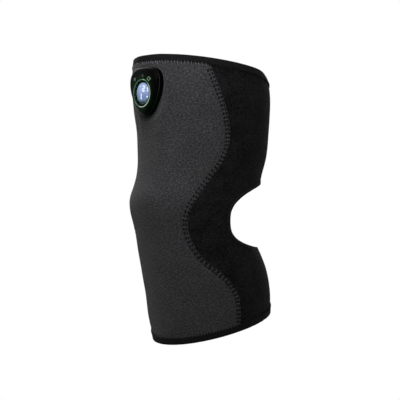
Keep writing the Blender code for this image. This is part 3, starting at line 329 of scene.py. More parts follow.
def patchSheet(name, ends, steps, low, high, outer, inner):
    # even columns from turn to turn, each in even heights from low to high
    turn = np.linspace(*ends, steps[0])[:, None]
    up = np.linspace(0, 1, steps[1])[None, :]
    height = low(turn) + (high(turn) - low(turn)) * up
    return gridSheet(name, turn + 0 * up, height, outer, inner)


def halfGrid(base, turnOf, side, rows):
    # heights run from the rim to the opening's line; turn and height settle together
    share = np.linspace(0, 1, rows + 1)[None, :]
    base = np.asarray(base)[:, None] + 0 * share
    turn = base
    for _ in range(panelGrid.settling):
        low = bottomRim(turn) if side < 0 else openingEdge(turn, 1)
        high = openingEdge(turn, -1) if side < 0 else topRim(turn)
        height = low + (high - low) * share
        turn = turnOf(base, height)
    return turn, height


def splitSheet(name, base, whole, turnOf, rows, outer, inner):
    # two half grids that share the opening's line where the cloth is whole
    (lowTurn, lowHeight), (highTurn, highHeight) = (
        halfGrid(base, turnOf, side, count) for side, count in zip((-1, 1), rows))
    low = np.arange(lowTurn.size).reshape(lowTurn.shape)
    high = np.arange(highTurn.size).reshape(highTurn.shape) + lowTurn.size
    high[whole, 0] = low[whole, -1]
    turn = np.concatenate([lowTurn.ravel(), highTurn.ravel()])
    height = np.concatenate([lowHeight.ravel(), highHeight.ravel()])
    return closedSheet(name, turn, height, np.concatenate([gridQuads(low), gridQuads(high)]), outer, inner)


def ringFaces(rings, sides, closed=False, capped=True):
    # quads between neighbouring rings, with the two ends filled
    index = np.arange(rings * sides).reshape(rings, sides)
    if closed:
        index = np.concatenate([index, index[:1]])
    near, far = index[:-1], index[1:]
    quads = joined(near, np.roll(near, -1, axis=1), np.roll(far, -1, axis=1), far)
    faces = quads.reshape(-1, 4).tolist()
    if capped and not closed:
        faces += [index[0, ::-1].tolist(), index[-1].tolist()]
    return faces


threadForm = Settings(sides=6, sink=0.9, sinkPower=6, taper=0.75, taperPower=8)


def threadRun(name, starts, ends, lifts, width, bulge, steps=7):
    # each stitch is a tube over the face: a straight run in (turn, height), lifted by bulge * sin(pi t),
    # with both ends thinner and sunk into the cloth
    form, sides = threadForm, threadForm.sides
    t = np.linspace(0, 1, steps)[None, :]
    tip = np.abs(2 * t - 1)
    turn = starts[:, :1] + (ends[:, :1] - starts[:, :1]) * t
    height = starts[:, 1:] + (ends[:, 1:] - starts[:, 1:]) * t
    normal = faceNormal(turn, height)
    rise = swell(turn, height) + wingLift(turn) + lifts[0] + (lifts[1] - lifts[0]) * t
    rise = rise + bulge * np.sin(pi * t) - width * form.sink * tip ** form.sinkPower
    middle = facePoint(turn, height) + normal * rise[..., None]
    along = unit(np.gradient(middle, axis=1))
    across = np.cross(along, normal)
    thick = width / 2 * (1 - form.taper * tip ** form.taperPower)
    angle = np.linspace(0, tau, sides, endpoint=False)
    around = across[:, :, None] * np.cos(angle)[:, None]
    around = around + np.cross(across, along)[:, :, None] * np.sin(angle)[:, None]
    tube = middle[:, :, None] + thick[..., None, None] * around
    jump = (np.arange(len(starts)) * steps * sides)[:, None, None]
    faces = []
    for corners in (4, sides):
        part = np.array([face for face in ringFaces(steps, sides) if len(face) == corners])
        faces += (part[None] + jump).reshape(-1, corners).tolist()
    piece = makeMesh(name, tube, faces, 80)
    giveMap(piece, runLength(middle)[:, :, None], angle * width / 2)
    return piece


# Shader helpers

def isSocket(value):
    return isinstance(value, bpy.types.NodeSocket)


def fill(node, inputs):
    # a socket is linked, anything else becomes the input's own value
    for key, value in inputs.items():
        if isSocket(value):
            node.id_data.links.new(value, node.inputs[key])
        else:
            node.inputs[key].default_value = value
    return node


def addNode(tree, kind, inputs=None, **settings):
    node = tree.nodes.new(kind)
    for key, value in settings.items():
        setattr(node, key, value)
    return fill(node, inputs or {})


def effect(kind, inputs, output=0, **settings):
    # a node in the tree that its linked inputs come from
    tree = next(value.id_data for value in inputs.values() if isSocket(value))
    return addNode(tree, "ShaderNode" + kind, inputs, **settings).outputs[output]


def maths(operation, *values):
    return effect("Math", dict(enumerate(values)), operation=operation)


add, minus, times, over, timesAdd, sine, largest = (functools.partial(maths, operation) for operation in (
    "ADD", "SUBTRACT", "MULTIPLY", "DIVIDE", "MULTIPLY_ADD", "SINE", "MAXIMUM"))


def mixTone(factor, a, b, blend="MIX"):
    return effect("Mix", {0: factor, 6: a, 7: b}, 2, data_type="RGBA", blend_type=blend)


def vectorMaths(operation, *values, output=0):
    return effect("VectorMath", dict(enumerate(values)), output, operation=operation)


def scaled(vector, size):
    return vectorMaths("MULTIPLY", vector, size)


def split(vector):
    return addNode(vector.id_data, "ShaderNodeSeparateXYZ", {0: vector}).outputs


def ramp(value, low, high):
    return effect("MapRange", {"Value": value, "From Min": low, "From Max": high})


def noise(vector, scale, detail=2.0, rough=0.5):
    return effect("TexNoise", {"Vector": vector, "Scale": scale, "Detail": detail, "Roughness": rough}, "Fac")


def bumpOf(height, distance):
    return effect("Bump", {"Height": height, "Distance": distance})


def tone(red, green, blue):
    # screen values 0-255 turned into scene colour
    share = np.array([red, green, blue]) / 255
    linear = np.where(share <= 0.04045, share / 12.92, ((share + 0.055) / 1.055) ** 2.4)
    return (*linear.tolist(), 1.0)


def grey(value):
    return (value, value, value, 1.0)


def makeGroup(name, outputs, **inputs):
    # None makes a vector socket, a colour a colour socket and a number a plain one
    group = bpy.data.node_groups.new(name, "ShaderNodeTree")
    for label, value in {"Place": None, **inputs}.items():
        kind = "Vector" if value is None else "Color" if isinstance(value, tuple) else "Float"
        socket = group.interface.new_socket(name=label, in_out="INPUT", socket_type="NodeSocket" + kind)
        if value is not None:
            socket.default_value = value
    for label in outputs:
        kind = "NodeSocketColor" if label == "Color" else "NodeSocketFloat"
        group.interface.new_socket(name=label, in_out="OUTPUT", socket_type=kind)
    return addNode(group, "NodeGroupInput").outputs, addNode(group, "NodeGroupOutput")


def endGroup(given, out, level, low, high):
    # the colour runs from Deep to Top with the height, so the low parts of the random relief are darker:
    # painted shade over the random tone
    fill(out, {"Color": mixTone(ramp(level, low, high), given["Deep"], given["Top"]), "Height": level})
    return out.id_data


def useGroup(group, **values):
    return addNode(values["Place"].id_data, "ShaderNodeGroup", values, node_tree=group).outputs


def startMaterial(name):
    material = bpy.data.materials.new(name)
    material.use_nodes = True
    return material, material.node_tree.nodes["Principled BSDF"]


def coordinates(shader):
    return addNode(shader.id_data, "ShaderNodeTexCoord").outputs["Object"]


def millimetres(shader, mapped=False):
    cut = addNode(shader.id_data, "ShaderNodeUVMap", uv_map="cut").outputs[0] if mapped else None
    return scaled(cut or coordinates(shader), (1 / mm,) * 3)


# Shared effects, in millimetres

jerseyLook = Settings(
    stitch=0.35, streakSize=(0.72, 0.85, 1.0), streak=(1.15, 3.0, 0.6), fleckSize=(0.9, 1.15, 1.0),
    fleck=(0.5, 1.0), cloud=(0.05, 1.0), cloudShare=0.08, toMiddle=(0.22, 0.51), toTop=(0.49, 0.82),
    grooves=(-0.9, 0.5), groove=0.25, grooveShare=0.35, lump=0.4, fibre=0.6)
pileLook = Settings(
    size=(1.0, 1.15, 1.0), rough=(3.0, 0.7), cloud=0.05, cloudShare=0.35, cellShare=0.4, toTop=(0.28, 0.64))
tapeLook = Settings(ridgeShare=0.45, fray=(0.9, 3.0, 0.6), frayShare=0.7, toTop=(0.2, 0.95))
mouldedLook = Settings(
    broad=(0.11, 3.0, 0.6), grain=(2.6, 2.0, 0.6), rubSize=(1.0, 1.0, 0.12), rub=(0.9, 3.0, 0.7),
    rubs=(0.56, 0.78), veils=(0.35, 0.8), grainShare=0.2)


def jerseyGroup():
    # wales: rows of V stitches; fibres: streaky noise between three yarn tones; the grooves between stitches
    # darkened as painted shade
    look = jerseyLook
    given, out = makeGroup("melangeJersey", ("Color", "Height"), Deep=grey(0.02), Middle=grey(0.04),
                           Top=grey(0.08), Wale=1.1)
    place = given["Place"]
    parts = split(place)
    leg = maths("PINGPONG", over(parts[0], given["Wale"]), 0.5)
    course = add(over(parts[1], given["Wale"]), leg)
    stitch = timesAdd(sine(times(course, tau)), look.stitch, 0.5)
    wale = sine(times(leg, tau))
    streak = noise(scaled(place, look.streakSize), *look.streak)
    fleck = noise(scaled(place, look.fleckSize), *look.fleck)
    fibre = timesAdd(streak, 0.5, times(fleck, 0.5))
    fibre = add(fibre, times(minus(noise(place, *look.cloud), 0.5), look.cloudShare))
    yarn = mixTone(ramp(fibre, *look.toMiddle), given["Deep"], given["Middle"])
    yarn = mixTone(ramp(fibre, *look.toTop), yarn, given["Top"])
    # painted shade: the colour is darkened where the wales and stitches dip
    shade = mixTone(ramp(times(wale, stitch), *look.grooves), grey(look.groove), grey(1.0))
    height = add(times(add(wale, stitch), look.lump), times(streak, look.fibre))
    return fill(out, {"Color": mixTone(look.grooveShare, yarn, shade, "MULTIPLY"), "Height": height}).id_data


def pileGroup():
    # cut or looped pile: small cells with a rough top
    look = pileLook
    given, out = makeGroup("loopPile", ("Color", "Height"), Deep=grey(0.003), Top=grey(0.02), Cell=1.0)
    place = scaled(given["Place"], look.size)
    fine = over(1.0, given["Cell"])
    cell = effect("TexVoronoi", {"Vector": place, "Scale": fine}, "Distance")
    level = add(noise(place, fine, *look.rough), times(noise(place, look.cloud), look.cloudShare))
    return endGroup(given, out, minus(level, times(cell, look.cellShare)), *look.toTop)


def tapeGroup():
    # woven tape: two sets of ridges crossing, sin(u) * sin(v), with a frayed tone
    look = tapeLook
    given, out = makeGroup("wovenTape", ("Color", "Height"), Deep=grey(0.01), Top=grey(0.03), Pitch=0.7)
    u, v = (sine(times(part, over(tau, given["Pitch"]))) for part in list(split(given["Place"]))[:2])
    fray = noise(given["Place"], *look.fray)
    level = add(times(timesAdd(times(u, v), 0.5, 0.5), look.ridgeShare), times(fray, look.frayShare))
    return endGroup(given, out, level, *look.toTop)


def threadGroup():
    # twisted yarn: ridges round the tube on a slant of 0.8
    given, out = makeGroup("twistedThread", ("Color", "Height"), Deep=grey(0.02), Top=grey(0.1), Pitch=0.6)
    parts = split(given["Place"])
    ply = sine(times(add(parts[0], times(parts[1], 0.8)), over(tau, given["Pitch"])))
    return endGroup(given, out, timesAdd(ply, 0.5, 0.5), 0.0, 1.0)


def mouldedGroup():
    # moulded plastic: fine grain, faint rub marks and a little dust
    look = mouldedLook
    given, out = makeGroup("mouldedSkin", ("Color", "Roughness", "Height"), Base=grey(0.01), Dust=grey(0.05),
                           Smooth=0.1, Rough=0.3, Wear=0.2)
    grain = noise(given["Place"], *look.grain)
    rub = ramp(noise(scaled(given["Place"], look.rubSize), *look.rub), *look.rubs)
    veil = ramp(noise(given["Place"], *look.broad), *look.veils)
    both = largest(times(rub, given["Wear"]), times(veil, given["Wear"]))
    span = minus(given["Rough"], given["Smooth"])
    rough = timesAdd(add(both, times(grain, look.grainShare)), span, given["Smooth"])
    return fill(out, {"Color": mixTone(both, given["Base"], given["Dust"]), "Roughness": rough,
                      "Height": grain}).id_data


jersey, pile, tape, thread, moulded = jerseyGroup(), pileGroup(), tapeGroup(), threadGroup(), mouldedGroup()
print("shared effects built")


def clothMaterial(name, group, deep, top, relief, sheen=0.0, rough=1.0, specular=0.06, mapped=True, **values):
    material, shader = startMaterial(name)
    made = useGroup(group, Place=millimetres(shader, mapped), Deep=tone(*deep), Top=tone(*top), **values)
    fill(shader, {"Base Color": made["Color"], "Normal": bumpOf(made["Height"], relief), "Roughness": rough,
                  "Specular IOR Level": specular, "Sheen Weight": sheen})
    return material


def plasticMaterial(name, base, dust, smooth, rough, wear, relief=0.02, coat=0.0, metal=0.0, specular=0.5):
    material, shader = startMaterial(name)
    made = useGroup(moulded, Place=millimetres(shader), Base=tone(*base), Dust=tone(*dust), Smooth=smooth,
                    Rough=rough, Wear=wear)
    fill(shader, {"Base Color": made["Color"], "Roughness": made["Roughness"], "Metallic": metal,
                  "Normal": bumpOf(made["Height"], relief * mm), "Coat Weight": coat,
                  "Specular IOR Level": specular})
    return material


# Cloth pieces: deep and top tones, relief in metres, sheen

jerseyMaterial = clothMaterial("melangeJerseyGrey", jersey, (26, 26, 27), (102, 102, 104.5), 0.00025, 0.12,
                               Wale=1.15, Middle=tone(58, 58, 59.5))
loopMaterial = clothMaterial("loopPileBlack", pile, (4, 4, 4), (36, 36, 36), 0.0004, 0.012, Cell=1.5)
liningMaterial = clothMaterial("liningVelour", pile, (14, 14, 15), (46, 46, 48), 0.0003, 0.2, Cell=0.7)
foamMaterial = clothMaterial("foamGrey", pile, (60, 60, 62), (120, 120, 122), 0.0004, Cell=0.9)
hookMaterial = clothMaterial("hookTapeBlack", pile, (6, 6, 6), (52, 52, 54), 0.0006, Cell=1.4)
bindingMaterial = clothMaterial("bindingTape", tape, (7, 7, 8), (35, 35, 36), 0.00025, 0.02, Pitch=0.9)
notchTapeMaterial = clothMaterial("openingTape", tape, (8, 8, 8), (46, 46, 47), 0.0002, 0.02, Pitch=0.8)

hands = {"left": (1, layers.leftEnd), "right": (-1, layers.rightEnd)}
panelGrid = Settings(
    steps=(131, 281), passes=5, settling=4, firstTurn=radians(60), sideColumns=44, wingColumns=66,
    sideRows=(76, 90), liningColumns=101, liningWing=40, liningRows=(50, 60))
padForm = Settings(steps=(81, 121), fill=0.5)
patchForm = Settings(
    lengths(margin=11, outer=2.4, inner=0.5, width=28, meanWidth=27),
    steps=(21, 61), turns=(radians(170), radians(192)))


def panelOuter(turn, height):
    return -swell(turn, height) - wingLift(turn)


def panelInner(turn, height):
    return layers.panel - wingLift(turn)


def frontFabric():
    share, up = (np.linspace(low, 1, steps) for low, steps in zip((-1, 0), panelGrid.steps))
    share, up = share[:, None], up[None, :]
    turn = share * panelGrid.firstTurn + 0 * up
    for _ in range(panelGrid.passes):
        height = bottomRim(turn) + (topRim(turn) - bottomRim(turn)) * up
        turn = share * (seamTurn(height) - seamForm.split / legForm.depth)
    return gridSheet("front_fabric", turn, height, panelOuter, panelInner)


def wingTurns(endShare, columns):
    # even steps of the angle of the superellipse, then on past the back's middle
    shares = 1 - np.cos(np.linspace(0, pi / 2, columns + 1)) ** (2 / openingForm.power)
    return shareTurn(np.append(shares, endShare))


def sideFabric(name, hand, endShare):
    # from the seam to the opening's tip in even steps, then along both wings
    beside = np.linspace(0, 1, panelGrid.sideColumns + 1)[:-1]
    wings = wingTurns(endShare, panelGrid.wingColumns) - openingForm.tip
    base = np.concatenate([beside, 1 + wings])[::hand]

    def turnOf(base, height):
        start = seamTurn(height) + seamForm.split / legForm.depth
        inside = start + (openingForm.tip - start) * np.minimum(base, 1)
        return hand * (inside + np.maximum(base - 1, 0))

    return splitSheet(name, base, base <= 1, turnOf, panelGrid.sideRows, panelOuter, panelInner)


def liningCloth():
    right, left = (wingTurns(layers[end], panelGrid.liningWing) for end in ("rightEnd", "leftEnd"))
    tip = openingForm.tip
    base = np.concatenate([-right[::-1], np.linspace(-tip, tip, panelGrid.liningColumns)[1:-1], left])
    return splitSheet("lining_cloth", base, np.abs(base) <= tip + 1e-9, lambda base, height: base,
                      panelGrid.liningRows,
                      lambda turn, height: padDepth(turn, height) - wingLift(turn),
                      lambda turn, height: padDepth(turn, height) + layers.lining - wingLift(turn))


def foamPad():
    edge, rim = layers.padTurns[0], layers.padRims[1]
    return patchSheet("foam_pad", (-edge, edge), padForm.steps,
                      lambda turn: bottomRim(turn) + rim, lambda turn: topRim(turn) - rim,
                      lambda turn, height: layers.panel + layers.foamGap,
                      lambda turn, height: padDepth(turn, height) - layers.wireSpace)


def hookPatch(name, upper):
    form = patchForm
    return patchSheet(
        name, form.turns, form.steps,
        lambda turn: (openingEdge(turn, 1) if upper else bottomRim(turn)) + form.margin,
        lambda turn: (topRim(turn) if upper else openingEdge(turn, -1) + openingForm.fall) - form.margin,
        lambda turn, height: -form.outer, lambda turn, height: -form.inner)


front, frontArea = frontFabric()
setPiece(front, jerseyMaterial, stands=["front_panel"])
sewnOn = {"front_fabric": [], "left_side_fabric": [], "right_side_fabric": [], "lining_cloth": []}
for sideName, (hand, endShare) in hands.items():
    side, sideArea = sideFabric(sideName + "_side_fabric", hand, endShare)
    setPiece(side, loopMaterial, stands=[sideName + "_side_panel"])
lining, liningArea = liningCloth()
setPiece(lining, liningMaterial, stands=["inner_lining"])
foam, _ = foamPad()
setPiece(foam, foamMaterial, stands=["foam_core"])
for patchName in ("upper", "lower"):
    patch, patchArea = hookPatch(patchName + "_hook_cloth", patchName == "upper")
    setPiece(patch, hookMaterial, stands=[patchName + "_hook_tape"])
print("cloth made: front", round(frontArea, 5), "lining", round(liningArea, 5), "square metres")


# Bindings: a folded tape over each edge

bindings = Settings(
    lengths(gap=0.14, innerGap=0.75, rim=(0.75, 7.0), opening=(0.5, 3.4), legOff=(0, 0.25, 1.6), wave=0.06,
            wavePitch=11),
    legRise=(0.2, 0.55, 0.85), capSteps=13, fineWave=0.6, finePitch=0.37, rightSteps=90, leftSteps=94,
    frontSteps=150, openingSteps=70)


def foldedTape(name, turn, height, size, side, followed=False):
    # profile: outer leg, half ellipse over the edge, inner leg; carried along the edge of the cloth
    form, (wall, reach) = bindings, size
    face, normal = facePoint(turn, height), faceNormal(turn, height)
    off = np.cross(normal, unit(np.gradient(face, axis=0))) * side
    length = runLength(face)
    outside = form.gap
    inside = -(layers.panel + layers.liningGap + layers.lining) - form.innerGap
    middle, half = (outside + inside) / 2, (outside - inside) / 2
    cap = np.linspace(0, pi, form.capSteps)
    legRise, legOff = np.array(form.legRise) * wall, np.array(form.legOff) - reach
    rise = np.concatenate([outside + legRise, middle + (half + wall) * np.cos(cap), inside - legRise[::-1],
                           [inside], middle + half * np.cos(cap[::-1]), [outside]])
    reachOff = np.concatenate([legOff, (form.gap + wall) * np.sin(cap), legOff[::-1],
                               [-reach], form.gap * np.sin(cap), [-reach]])
    wave = np.sin(tau * length / form.wavePitch)
    wave = wave + form.fineWave * np.sin(tau * length / (form.finePitch * form.wavePitch))
    outward = np.zeros(len(rise))
    outward[1:len(legRise) + len(cap)] = 1
    rise = rise + wingLift(turn)[:, None] + form.wave * wave[:, None] * outward
    if followed:
        # the legs lie on the face beside the rim, so that only the fold stands off it
        turns, heights = turn[:, None] + 0 * rise, height[:, None] + side * np.minimum(reachOff, 0)
        rings = facePoint(turns, heights) + faceNormal(turns, heights) * rise[..., None]
        rings = rings + off[:, None] * np.maximum(reachOff, 0)[:, None]
    else:
        rings = face[:, None] + normal[:, None] * rise[..., None] + off[:, None] * reachOff[:, None]
    around = runLength(joined(rise[0], reachOff))
    if side > 0:
        rings, around = rings[:, ::-1], around[::-1]
    piece = makeMesh(name, rings, ringFaces(len(turn), len(reachOff)), 60)
    giveMap(piece, length[:, None], around)
    return piece


def rimColumns():
    right = shareTurn(np.linspace(0, layers.rightEnd, bindings.rightSteps))
    left = shareTurn(np.linspace(0, layers.leftEnd, bindings.leftSteps))
    middle = np.linspace(-openingForm.tip, openingForm.tip, bindings.frontSteps)
    return np.concatenate([-right[::-1], middle[1:-1], left])


def openingTape(name, hand, endShare):
    out = wingTurns(endShare, bindings.openingSteps)
    turn = np.concatenate([out[::-1], out[1:]])
    height = np.concatenate([openingEdge(out, 1)[::-1], openingEdge(out, -1)[1:]])
    return foldedTape(name, turn * hand, height, bindings.opening, hand)


rim = rimColumns()
for edgeName, rimOf, side in (("top", topRim, 1), ("bottom", bottomRim, -1)):
    edge = foldedTape(edgeName + "_edge_tape", rim, rimOf(rim), bindings.rim, side, True)
    setPiece(edge, bindingMaterial, stands=[edgeName + "_binding"])
for sideName, (hand, endShare) in hands.items():
    edge = openingTape(sideName + "_opening_tape", hand, endShare)
    setPiece(edge, notchTapeMaterial, stands=[sideName + "_opening_binding"])
print("bindings made")


# Stitching

stitches = Settings(
    lengths(pitch=4.4, endMargins=(9, 8), rungs=(-0.3, 6.4), rungWidth=1.15, rungBulge=0.3,
            rungLifts=(0.05, -0.05), rows=(1.5, 4.6), dashWidth=2.1, dashBulge=0.2, dashLifts=(0.1, 0.1)),
    uneven=0.07, unevenRate=5.1, unevenShift=0.9, samples=900, spare=(0.4, 0.2),
    endTurns=(radians(70), radians(60)), rungLean=0.12, dash=(0.2, 0.9), dashSteps=5)
rimSewing = Settings(
    lengths(pitch=3.4, width=0.72, bulge=0.15, over=1.3, drop=3.2, uneven=0.7, toBlack=10),
    unevenRate=2.9, sway=0.011, swayRate=4.3, topLean=0.012, end=radians(165), aside=0.04)


def threadMaterial(name, deep, top):
    return clothMaterial(name, thread, deep, top, 0.0001, 0.02, rough=0.8, specular=0.08)


seamThread = threadMaterial("seamThreadGrey", (44, 44, 46), (94, 94, 97))
darkThread = threadMaterial("seamThreadDark", (3, 3, 4), (13, 13, 15))
rimThread = threadMaterial("rimThread", (58, 58, 62), (138, 138, 147))
# painted shade: the bottom edge's stitches take a darker copy of the rim thread
shadedLowThread = threadMaterial("shadedLowRimThread", (48, 48, 50), (96, 96, 98))


def seamPath(hand, gap, shift=0.0):
    # points at even steps along the seam, moved gap metres square to it towards the front
    form = stitches
    (lowTurn, highTurn), (lowMargin, highMargin) = form.endTurns, form.endMargins
    height = np.linspace(bottomRim(lowTurn) + lowMargin, topRim(highTurn) - highMargin, form.samples)
    run = seamTurn(height) * seamForm.radius
    slope = seamSlope(height)
    norm = np.sqrt(1 + slope**2)
    length = runLength(joined(run, height))
    at = np.arange(form.spare[0], length[-1] / form.pitch - form.spare[1])
    uneven = form.uneven * np.sin(form.unevenRate * at + form.unevenShift * gap / mm)
    at = (at + shift + uneven) * form.pitch
    turn = np.interp(at, length, (run - gap / norm) / seamForm.radius)
    return joined(hand * turn, np.interp(at, length, height + gap * slope / norm))


for sideName, (hand, endShare) in hands.items():
    # light rungs across the seam, and dark dashes in two rows between them
    start, end = (seamPath(hand, gap, lean) for gap, lean in zip(stitches.rungs, (0.0, stitches.rungLean)))
    rungs = threadRun(sideName + "_seam_rungs", start, end, stitches.rungLifts, stitches.rungWidth,
                      stitches.rungBulge)
    starts, ends = (np.concatenate([seamPath(hand, row, shift)[:-1] for row in stitches.rows])
                    for shift in stitches.dash)
    dashes = threadRun(sideName + "_seam_dashes", starts, ends, stitches.dashLifts, stitches.dashWidth,
                       stitches.dashBulge, stitches.dashSteps)
    for sewn, material in ((rungs, seamThread), (dashes, darkThread)):
        setPiece(sewn, material)
        sewnOn["front_fabric"].append(sewn)


def rimStitches(name, turns, rimOf, side, lean):
    # short threads from the tape down onto the cloth
    form, (wall, reach) = rimSewing, bindings.rim
    step = np.arange(len(turns))
    drop = form.drop + form.uneven * np.sin(form.unevenRate * step)
    start = joined(turns, rimOf(turns) - side * (reach - form.over))
    sway = form.sway * np.sin(form.swayRate * step)
    end = joined(turns + lean + sway, rimOf(turns) - side * (reach + drop))
    return threadRun(name, start, end, (bindings.gap + wall, form.bulge), form.width, form.bulge)


rimTurns = np.arange(-rimSewing.end, rimSewing.end, rimSewing.pitch / seamForm.radius)
for edgeName, rimOf, side, lean, lightThread in (("top", topRim, 1, rimSewing.topLean, rimThread),
                                                 ("bottom", bottomRim, -1, 0.0, shadedLowThread)):
    seamAt = seamTurn(rimOf(rimTurns) - side * rimSewing.toBlack)
    onGrey = np.abs(rimTurns) < seamAt - rimSewing.aside
    light = rimStitches(edgeName + "_edge_stitches", rimTurns[onGrey], rimOf, side, lean)
    setPiece(light, lightThread)
    sewnOn["front_fabric"].append(light)
    dark = rimStitches(edgeName + "_side_stitches", rimTurns[~onGrey], rimOf, side, lean)
    setPiece(dark, darkThread)
    sewnOn["lining_cloth"].append(dark)
print("stitching made")


# Controller

case = Settings(
    lengths(back=-64.209, level=127.7137, width=49.4, height=52, wall=1.4, face=11.2, tray=5, gasket=0.5,
            gap=0.3, roundWidth=5.6, roundDepth=4.6, ceiling=1.4, drop=2.0,
            innerRound=((3.7, 0), (2.55, 0.7))),
    taper=0.35, shoulder=0.72, sides=128, bendSteps=13, sharp=28)
ring = Settings(
    lengths(radius=15.2, width=1.2, proud=0.15, foot=0.3, edge=((0, 0.25), (0.12, 0.06), (0.35, 0))),
    sides=128)
lensForm = Settings(
    lengths(foot=1.7, side=0.3, under=0.25, bevel=0.15, dome=0.35),
    heart=0.02, steps=10, inset=0.008)
screenForm = Settings(
    lengths(radius=11.3, gap=0.12, depth=0.14, maskGap=0.12, maskOut=0.1, maskIn=0.05),
    sides=96)
keys = Settings(
    lengths(radius=19.3, half=2.6, clearance=0.3, proud=0.15, flange=0.7, under=0.6, stem=1.2, stemHalf=1.4,
            edge=((0, 0.34), (0.05, 0.16), (0.16, 0.05), (0.34, 0))),
    halfTurn=radians(6), spacing=radians(40), flangeTurn=radians(2.6), arcSteps=13, endSteps=18)
ringInner = ring.radius - ring.width
ringTop = case.face + ring.proud
lensLow = case.face - lensForm.foot
screenHigh = lensLow - screenForm.gap


def onCase(points):
    # the controller's own x, y, z: across, up, out of the face
    x, y, z = np.moveaxis(np.asarray(points, float), -1, 0)
    return joined(x, case.back - z, case.level + y)


def shieldLine(inset):
    # x = (w/2 - inset) |cos t|^p (1 + taper sin t), scaled to its widest, p smaller above the middle;
    # y = (h/2 - inset) sin t
    turn = np.linspace(0, tau, case.sides, endpoint=False)
    power = np.where(np.sin(turn) > 0, case.shoulder, 1)
    width = np.sign(np.cos(turn)) * np.abs(np.cos(turn)) ** power * (1 + case.taper * np.sin(turn))
    width = (case.width / 2 - inset) * width / np.abs(width).max()
    return joined(width, (case.height / 2 - inset) * np.sin(turn))


def circleLine(radius, sides):
    # a circle about the display's centre
    turn = np.linspace(0, tau, sides, endpoint=False)
    return joined(radius * np.cos(turn), radius * np.sin(turn) - case.drop)


def beanLine(half, halfTurn, centreTurn):
    # two arcs about the display's centre and two round ends
    arc = np.linspace(-halfTurn, halfTurn, keys.arcSteps)
    end = np.linspace(0, pi, keys.endSteps)[1:-1]
    far, near = keys.radius + half, keys.radius - half
    bend, along = keys.radius + half * np.cos(end), half * np.sin(end)
    x, y = bend * sin(halfTurn) + along * cos(halfTurn), bend * cos(halfTurn) - along * sin(halfTurn)
    outer, inner = (joined(radius * np.sin(arc), radius * np.cos(arc)) for radius in (far, near))
    line = np.concatenate([outer, joined(x, y), inner[::-1], joined(-x[::-1], y[::-1])])[::-1]
    c, s = cos(centreTurn), sin(centreTurn)
    return line @ np.array([[c, -s], [s, c]]) - (0, case.drop)


def caseLoft(name, rings, closed=False, smoothTurn=40):
    # each ring is a line in the case's plane and its height over the case's back
    rings = np.array([np.column_stack([line, np.full(len(line), height)]) for line, height in rings])
    return makeMesh(name, onCase(rings), ringFaces(len(rings), rings.shape[1], closed), smoothTurn)


def lathe(name, profile, sides, closed=True, smoothTurn=40):
    # profile of (radius, height) turned round the display's centre
    circles = [(circleLine(radius, sides), height) for radius, height in profile]
    return caseLoft(name, circles, closed, smoothTurn)


def cutOut(target, cutters):
    # boolean differences, applied to the mesh
    for cutter in cutters:
        change = target.modifiers.new("cut", "BOOLEAN")
        change.operation, change.solver, change.object = "DIFFERENCE", "EXACT", cutter
    shaped = bpy.data.meshes.new_from_object(target.evaluated_get(bpy.context.evaluated_depsgraph_get()))
    target.modifiers.clear()
    target.data = shaped
    for cutter in cutters:
        bpy.data.objects.remove(cutter)
    shaped.shade_smooth()
    shaped.set_sharp_from_angle(angle=radians(case.sharp))


def keyTurn(index):
    return (index - 1) * keys.spacing


def makeCover():
    # outer side with a quarter-ellipse edge up to the flat face, thin wall inside
    base = case.tray + case.gasket + 2 * case.gap
    ceiling = case.face - case.ceiling
    inner = [(inset, ceiling - drop) for inset, drop in case.innerRound]
    inner += [(case.wall, (base + ceiling) / 2), (case.wall, base)]
    outer = [(0.0, base)] + [(case.roundWidth * (1 - cos(a)), case.face - case.roundDepth * (1 - sin(a)))
                             for a in np.linspace(0, pi / 2, case.bendSteps)]
    cover = caseLoft("case_cover", [(shieldLine(inset), height) for inset, height in inner + outer])
    ends = (ceiling - mm, case.face + mm)
    ways = [circleLine(ring.radius + case.gap * 0.5, ring.sides)]
    ways += [beanLine(keys.half + keys.clearance, keys.halfTurn, keyTurn(index)) for index in range(3)]
    cutOut(cover, [caseLoft("way", [(way, height) for height in ends]) for way in ways])
    return cover


# Glow round the display: exp(-|r - radius| / reach)

displayAt = (0.0, 0.0, (case.level - case.drop) / mm)
# painted light on the case: the ring's green glow and a pale glow to the left, both as emission colours
caseLook = Settings(
    radius=14.5, reach=2.0, wideReach=6.0, veilFrom=(10.0, -8.0), veil=(0.007, 0.015, 0.011, 1),
    green=(0.0003, 0.018, 0.005, 1))
ringLook = Settings(
    radius=14.78, reach=0.2, noise=(0.12, 1.0), shift=(3.0, 0.0, 3.0), rightward=0.013, downward=0.007,
    bright=(0.38, 0.62), unlit=(0.0, 0.006, 0.002, 1), base=(0.01, 0.02, 0.013, 1), strength=1.1)


def glowGroup():
    given, out = makeGroup("ringGlow", ("Factor",), Radius=15.0, Reach=3.0)
    away = scaled(vectorMaths("SUBTRACT", given["Place"], displayAt), (1.0, 0.0, 1.0))
    gap = maths("ABSOLUTE", minus(vectorMaths("LENGTH", away, output="Value"), given["Radius"]))
    return fill(out, {"Factor": maths("EXPONENT", times(over(gap, given["Reach"]), -1.0))}).id_data


ringGlow = glowGroup()


def glowRound(place, radius, reach):
    return useGroup(ringGlow, Place=place, Radius=radius, Reach=reach)["Factor"]


def caseMaterial():
    # black gloss with painted light: the ring's green glow painted on as emission, and a wider pale painted
    # glow on the left
    look = caseLook
    material = plasticMaterial("caseGlossBlack", (2, 2, 2.5), (11, 10, 11), 0.28, 0.5, 0.3, 0.012,
                               specular=0.014)
    shader = material.node_tree.nodes["Principled BSDF"]
    place = millimetres(shader)
    # painted light: a pale glow, stronger to the left, and the ring's green glow, as emission
    veil = times(glowRound(place, look.radius, look.wideReach), ramp(split(place)[0], *look.veilFrom))
    veil = mixTone(veil, grey(0.0), look.veil)
    green = mixTone(glowRound(place, look.radius, look.reach), veil, look.green)
    fill(shader, {"Emission Color": green, "Emission Strength": 1.0})
    return material


